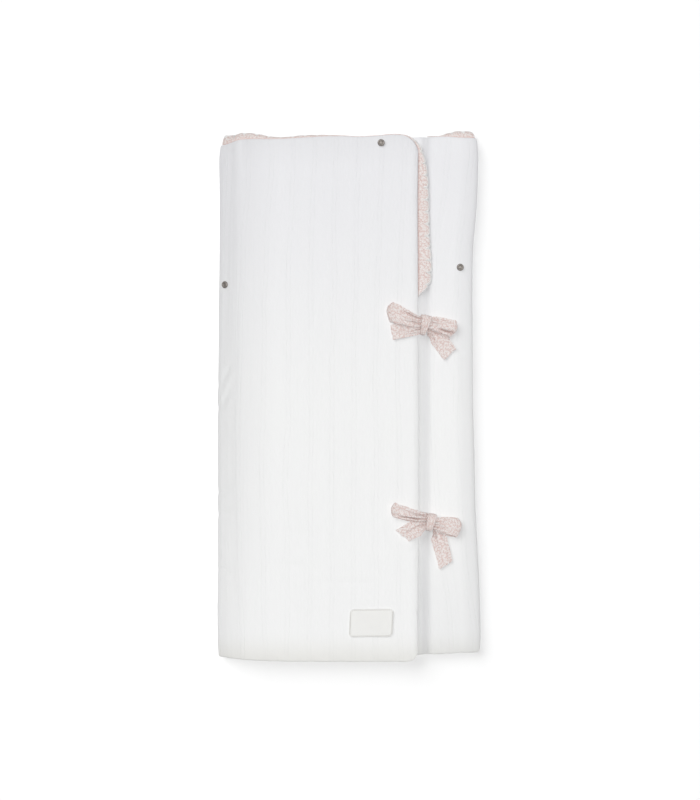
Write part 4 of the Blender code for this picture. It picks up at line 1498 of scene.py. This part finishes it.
def knot_ring(knot, across):
    """One oval of the wrapped band, at a place across it from -1 to 1."""
    end = math.sqrt(max(0.0, 1.0 - abs(across) ** 3.2))
    fold = knot_fold(across)
    ring = []
    for turn in spread(0.0, 2 * math.pi, KNOT_AROUND)[:-1]:
        up, out = math.sin(turn), math.cos(turn)
        crumple = noise.noise(Vector((across * 2.2, up * 1.2, out * 1.2 + knot.y * 40)))
        size = (0.80 + 0.20 * end) * (1.0 - KNOT_FOLD_DEPTH * fold) + KNOT_CRUMPLE * crumple
        tall = 0.82 + 0.14 * end + 0.05 * crumple
        y = knot.tall / 2 * tall * math.copysign(abs(out) ** 0.8, out)
        z = knot.high / 2 * size * math.copysign(abs(up) ** 0.8, up)
        x = knot.wide / 2 * across * (0.96 + KNOT_WEDGE * out)
        ring.append(Vector((x, y, z)))
    return ring


def make_knot(knot):
    points = []
    places = []
    shades = []
    for i, across in enumerate(spread(-1.0, 1.0, KNOT_RINGS)):
        # painted shade in the valleys of the knot's folds
        shades += [KNOT_SHADE * knot_fold(across) ** 3] * KNOT_AROUND
        for step, point in enumerate(knot_ring(knot, across)):
            x, y = turned(point.x, point.y, math.radians(knot.lean))
            points.append(Vector((knot.x + x, knot.y + y, KNOT_Z + point.z)))
            places.append((i * KNOT_RING_APART, step * KNOT_POINT_APART))
    faces = tube_faces(KNOT_RINGS + 1, KNOT_AROUND)
    piece = new_piece(f"{knot.bow}_bow_knot", points, faces, places, printed_cotton)
    shade_piece(piece, shades)
    sew_on(piece, f"tie_flap_{knot.bow}")
    return piece


def make_bow(knot):
    band = make_knot(knot)
    for order, side in enumerate(("flap", "panel")):
        node = f"tie_{side}_{knot.bow}"
        loop = row_for(LOOPS, bow=knot.bow, side=side)
        tail = row_for(TAILS, bow=knot.bow, side=side)
        name = f"{knot.bow}_bow_{side}"
        layer = order + (0.0 if knot.bow == "upper" else 2.0)
        make_ribbon(f"{name}_loop", node, loop_points(loop, layer), loop.tip_wide)
        make_ribbon(f"{name}_end", node, tail_points(tail, layer + 0.5), tail.tip_wide)


for knot in KNOTS:
    make_bow(knot)

# %% [markdown]
# ## Snaps and patch
# Three ring snaps are pressed into the cloth. Only their caps show: a rolled ring with a sunk
# middle, turned from a profile. The patch is a small rectangle of twill with round corners, sewn
# on by hand-like running stitches. It is bare.

# %% Ring snaps
SNAP_RADIUS = 5.0 * MM
SNAP_HEIGHT = 1.6 * MM
SNAP_AROUND = 48
SNAP_PROFILE = (  # shares of the radius and of the height
    (0.00, 0.42),
    (0.20, 0.40),
    (0.34, 0.30),
    (0.42, 0.34),
    (0.47, 0.62),
    (0.53, 0.88),
    (0.62, 1.00),
    (0.73, 0.99),
    (0.84, 0.86),
    (0.93, 0.62),
    (0.98, 0.34),
    (1.00, 0.05),
    (0.97, -0.30),
    (0.00, -0.30),
)
SNAP_NODES = ("snap_top", "snap_right", "snap_left")


def box_middle(node):
    low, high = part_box(node)
    return (Vector(low) + Vector(high)) / 2


def make_snap(node):
    """A ring turned from its profile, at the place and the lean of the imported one."""
    lean = -RAMP_TILT if node == "snap_left" else 0.0
    upright = Vector((math.sin(lean), 0.0, math.cos(lean)))
    sideways = Vector((math.cos(lean), 0.0, -math.sin(lean)))
    foot = box_middle(node) - upright * (SNAP_HEIGHT / 2)
    points = []
    for share, height in SNAP_PROFILE:
        centre = foot + upright * (height * SNAP_HEIGHT)
        radius = share * SNAP_RADIUS
        points += oval(centre, sideways * radius, UP_THE_CLOTH * radius, SNAP_AROUND)
    faces = tube_faces(len(SNAP_PROFILE), SNAP_AROUND)[1:-1]  # the profile closes its own ends
    snap = new_piece(f"ring_{node}", points, faces, [(0.0, 0.0)] * len(points), snap_metal)
    mesh = bmesh.new()
    mesh.from_mesh(snap.data)
    bmesh.ops.remove_doubles(mesh, verts=mesh.verts, dist=0.001 * MM)
    mesh.to_mesh(snap.data)
    mesh.free()
    sew_on(snap, node)


for node in SNAP_NODES:
    make_snap(node)
print("snaps:", ", ".join(SNAP_NODES))

# %% Bare patch
LABEL_THICK = 1.0 * MM
LABEL_CORNER = 6.0 * MM
LABEL_TURN = math.radians(0.6)
LABEL_LEAN = 0.06  # how much it leans to the side, as a share of its height
LABEL_COLUMNS = 60
LABEL_ROWS = 40
LABEL_WAVE = 0.5 * MM
LABEL_WAVE_SIZE = (0.022, 0.016)
LABEL_PUFF = 0.5 * MM  # how much lower its edge lies than its middle, and how far in that goes
LABEL_PUFF_WIDE = 5.0 * MM
LABEL_EDGE_ROUND = 0.3
LABEL_PLACE = box_middle("label_patch")


def label_point(across, up, lift):
    """A place on the patch, in metres from its middle, laid on the flap."""
    place = LABEL_PLACE + Vector((*turned(across + LABEL_LEAN * up, up, LABEL_TURN), lift))
    wave_wide, wave_long = LABEL_WAVE_SIZE
    place.z += LABEL_WAVE * noise.noise(Vector((place.x / wave_wide, place.y / wave_long, 6.6)))
    return place


def label_half_height(across):
    """Half the patch's height at a distance across it, less at the round corners."""
    past = abs(across) - (LABEL_WIDE / 2 - LABEL_CORNER)
    if past <= 0:
        return LABEL_TALL / 2
    return LABEL_TALL / 2 - LABEL_CORNER + math.sqrt(max(0.0, LABEL_CORNER**2 - past**2))


def make_patch():
    middle = []
    flat = []
    for turn in spread(-math.pi / 2, math.pi / 2, LABEL_COLUMNS):
        across = LABEL_WIDE / 2 * math.sin(turn)
        tall = label_half_height(across)
        for up in spread(-tall, tall, LABEL_ROWS):
            to_edge = min(LABEL_WIDE / 2 - abs(across), tall - abs(up))
            lift = LABEL_PUFF * (ease(to_edge / LABEL_PUFF_WIDE) - 0.5)
            middle.append(label_point(across, up, lift))
            flat.append((across, up))
    middle = as_grid(middle, LABEL_COLUMNS + 1)
    flat = as_grid(flat, LABEL_COLUMNS + 1)
    half = np.array((0.0, 0.0, LABEL_THICK / 2))
    patch = close_sheet("bare_patch", middle + half, middle - half, flat, patch_cloth, LABEL_EDGE_ROUND)
    sew_on(patch, "label_patch")
    return patch


# %% Running stitches
STITCH_INSET = 1.6 * MM
STITCH_PITCH = 2.9 * MM
STITCH_SHARE = 0.68
STITCH_THICK = 0.55 * MM
STITCH_STEPS = 6
STITCH_AROUND = 8
STITCH_HUMP = 0.35 * MM  # how far a stitch rises in its middle
STITCH_SUNK = 0.3 * MM  # how far its ends lie under the patch's face
LOOK_AHEAD = 0.1 * MM


def patch_border():
    """The closed stitch line round the patch, as places across and up."""
    corner = LABEL_CORNER - STITCH_INSET
    wide = LABEL_WIDE / 2 - LABEL_CORNER
    tall = LABEL_TALL / 2 - LABEL_CORNER
    border = []
    for start, x, y in ((0, wide, tall), (90, -wide, tall), (180, -wide, -tall), (270, wide, -tall)):
        centre = Vector((x, y, 0))
        border += [centre + level(math.radians(turn)) * corner for turn in spread(start, start + 90, 8)]
    return border + border[:1]


def walk(line, at):
    """The place at a distance along a line of points."""
    for before, after in zip(line, line[1:]):
        length = (after - before).length
        if at <= length:
            return before.lerp(after, at / length)
        at -= length
    return line[-1]


def make_stitches():
    line = patch_border()
    around = sum((b - a).length for a, b in zip(line, line[1:]))
    count = round(around / STITCH_PITCH)
    step = around / count
    points = []
    faces = []
    for i in range(count):
        faces += tube_faces(STITCH_STEPS + 1, STITCH_AROUND, len(points))
        for share in spread(0.0, 1.0, STITCH_STEPS):
            at = (i + share * STITCH_SHARE) * step
            place = walk(line, at)
            ahead = walk(line, at + LOOK_AHEAD) - place
            side = Vector((-ahead.y, ahead.x, 0)).normalized()
            rise = math.sin(math.pi * share) ** 0.5
            lift = LABEL_THICK / 2 + STITCH_HUMP * rise - STITCH_SUNK
            centre = label_point(place.x, place.y, lift)
            radius = STITCH_THICK / 2 * (0.35 + 0.65 * rise)
            points += oval(centre, side * radius, Vector((0, 0, radius)), STITCH_AROUND)
    places = [(point.x, point.y) for point in points]
    stitches = new_piece("patch_stitches", points, faces, places, seam_thread)
    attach(stitches, "root")
    print("stitches round the patch:", count)
    return stitches


patch = make_patch()
stitches = make_stitches()
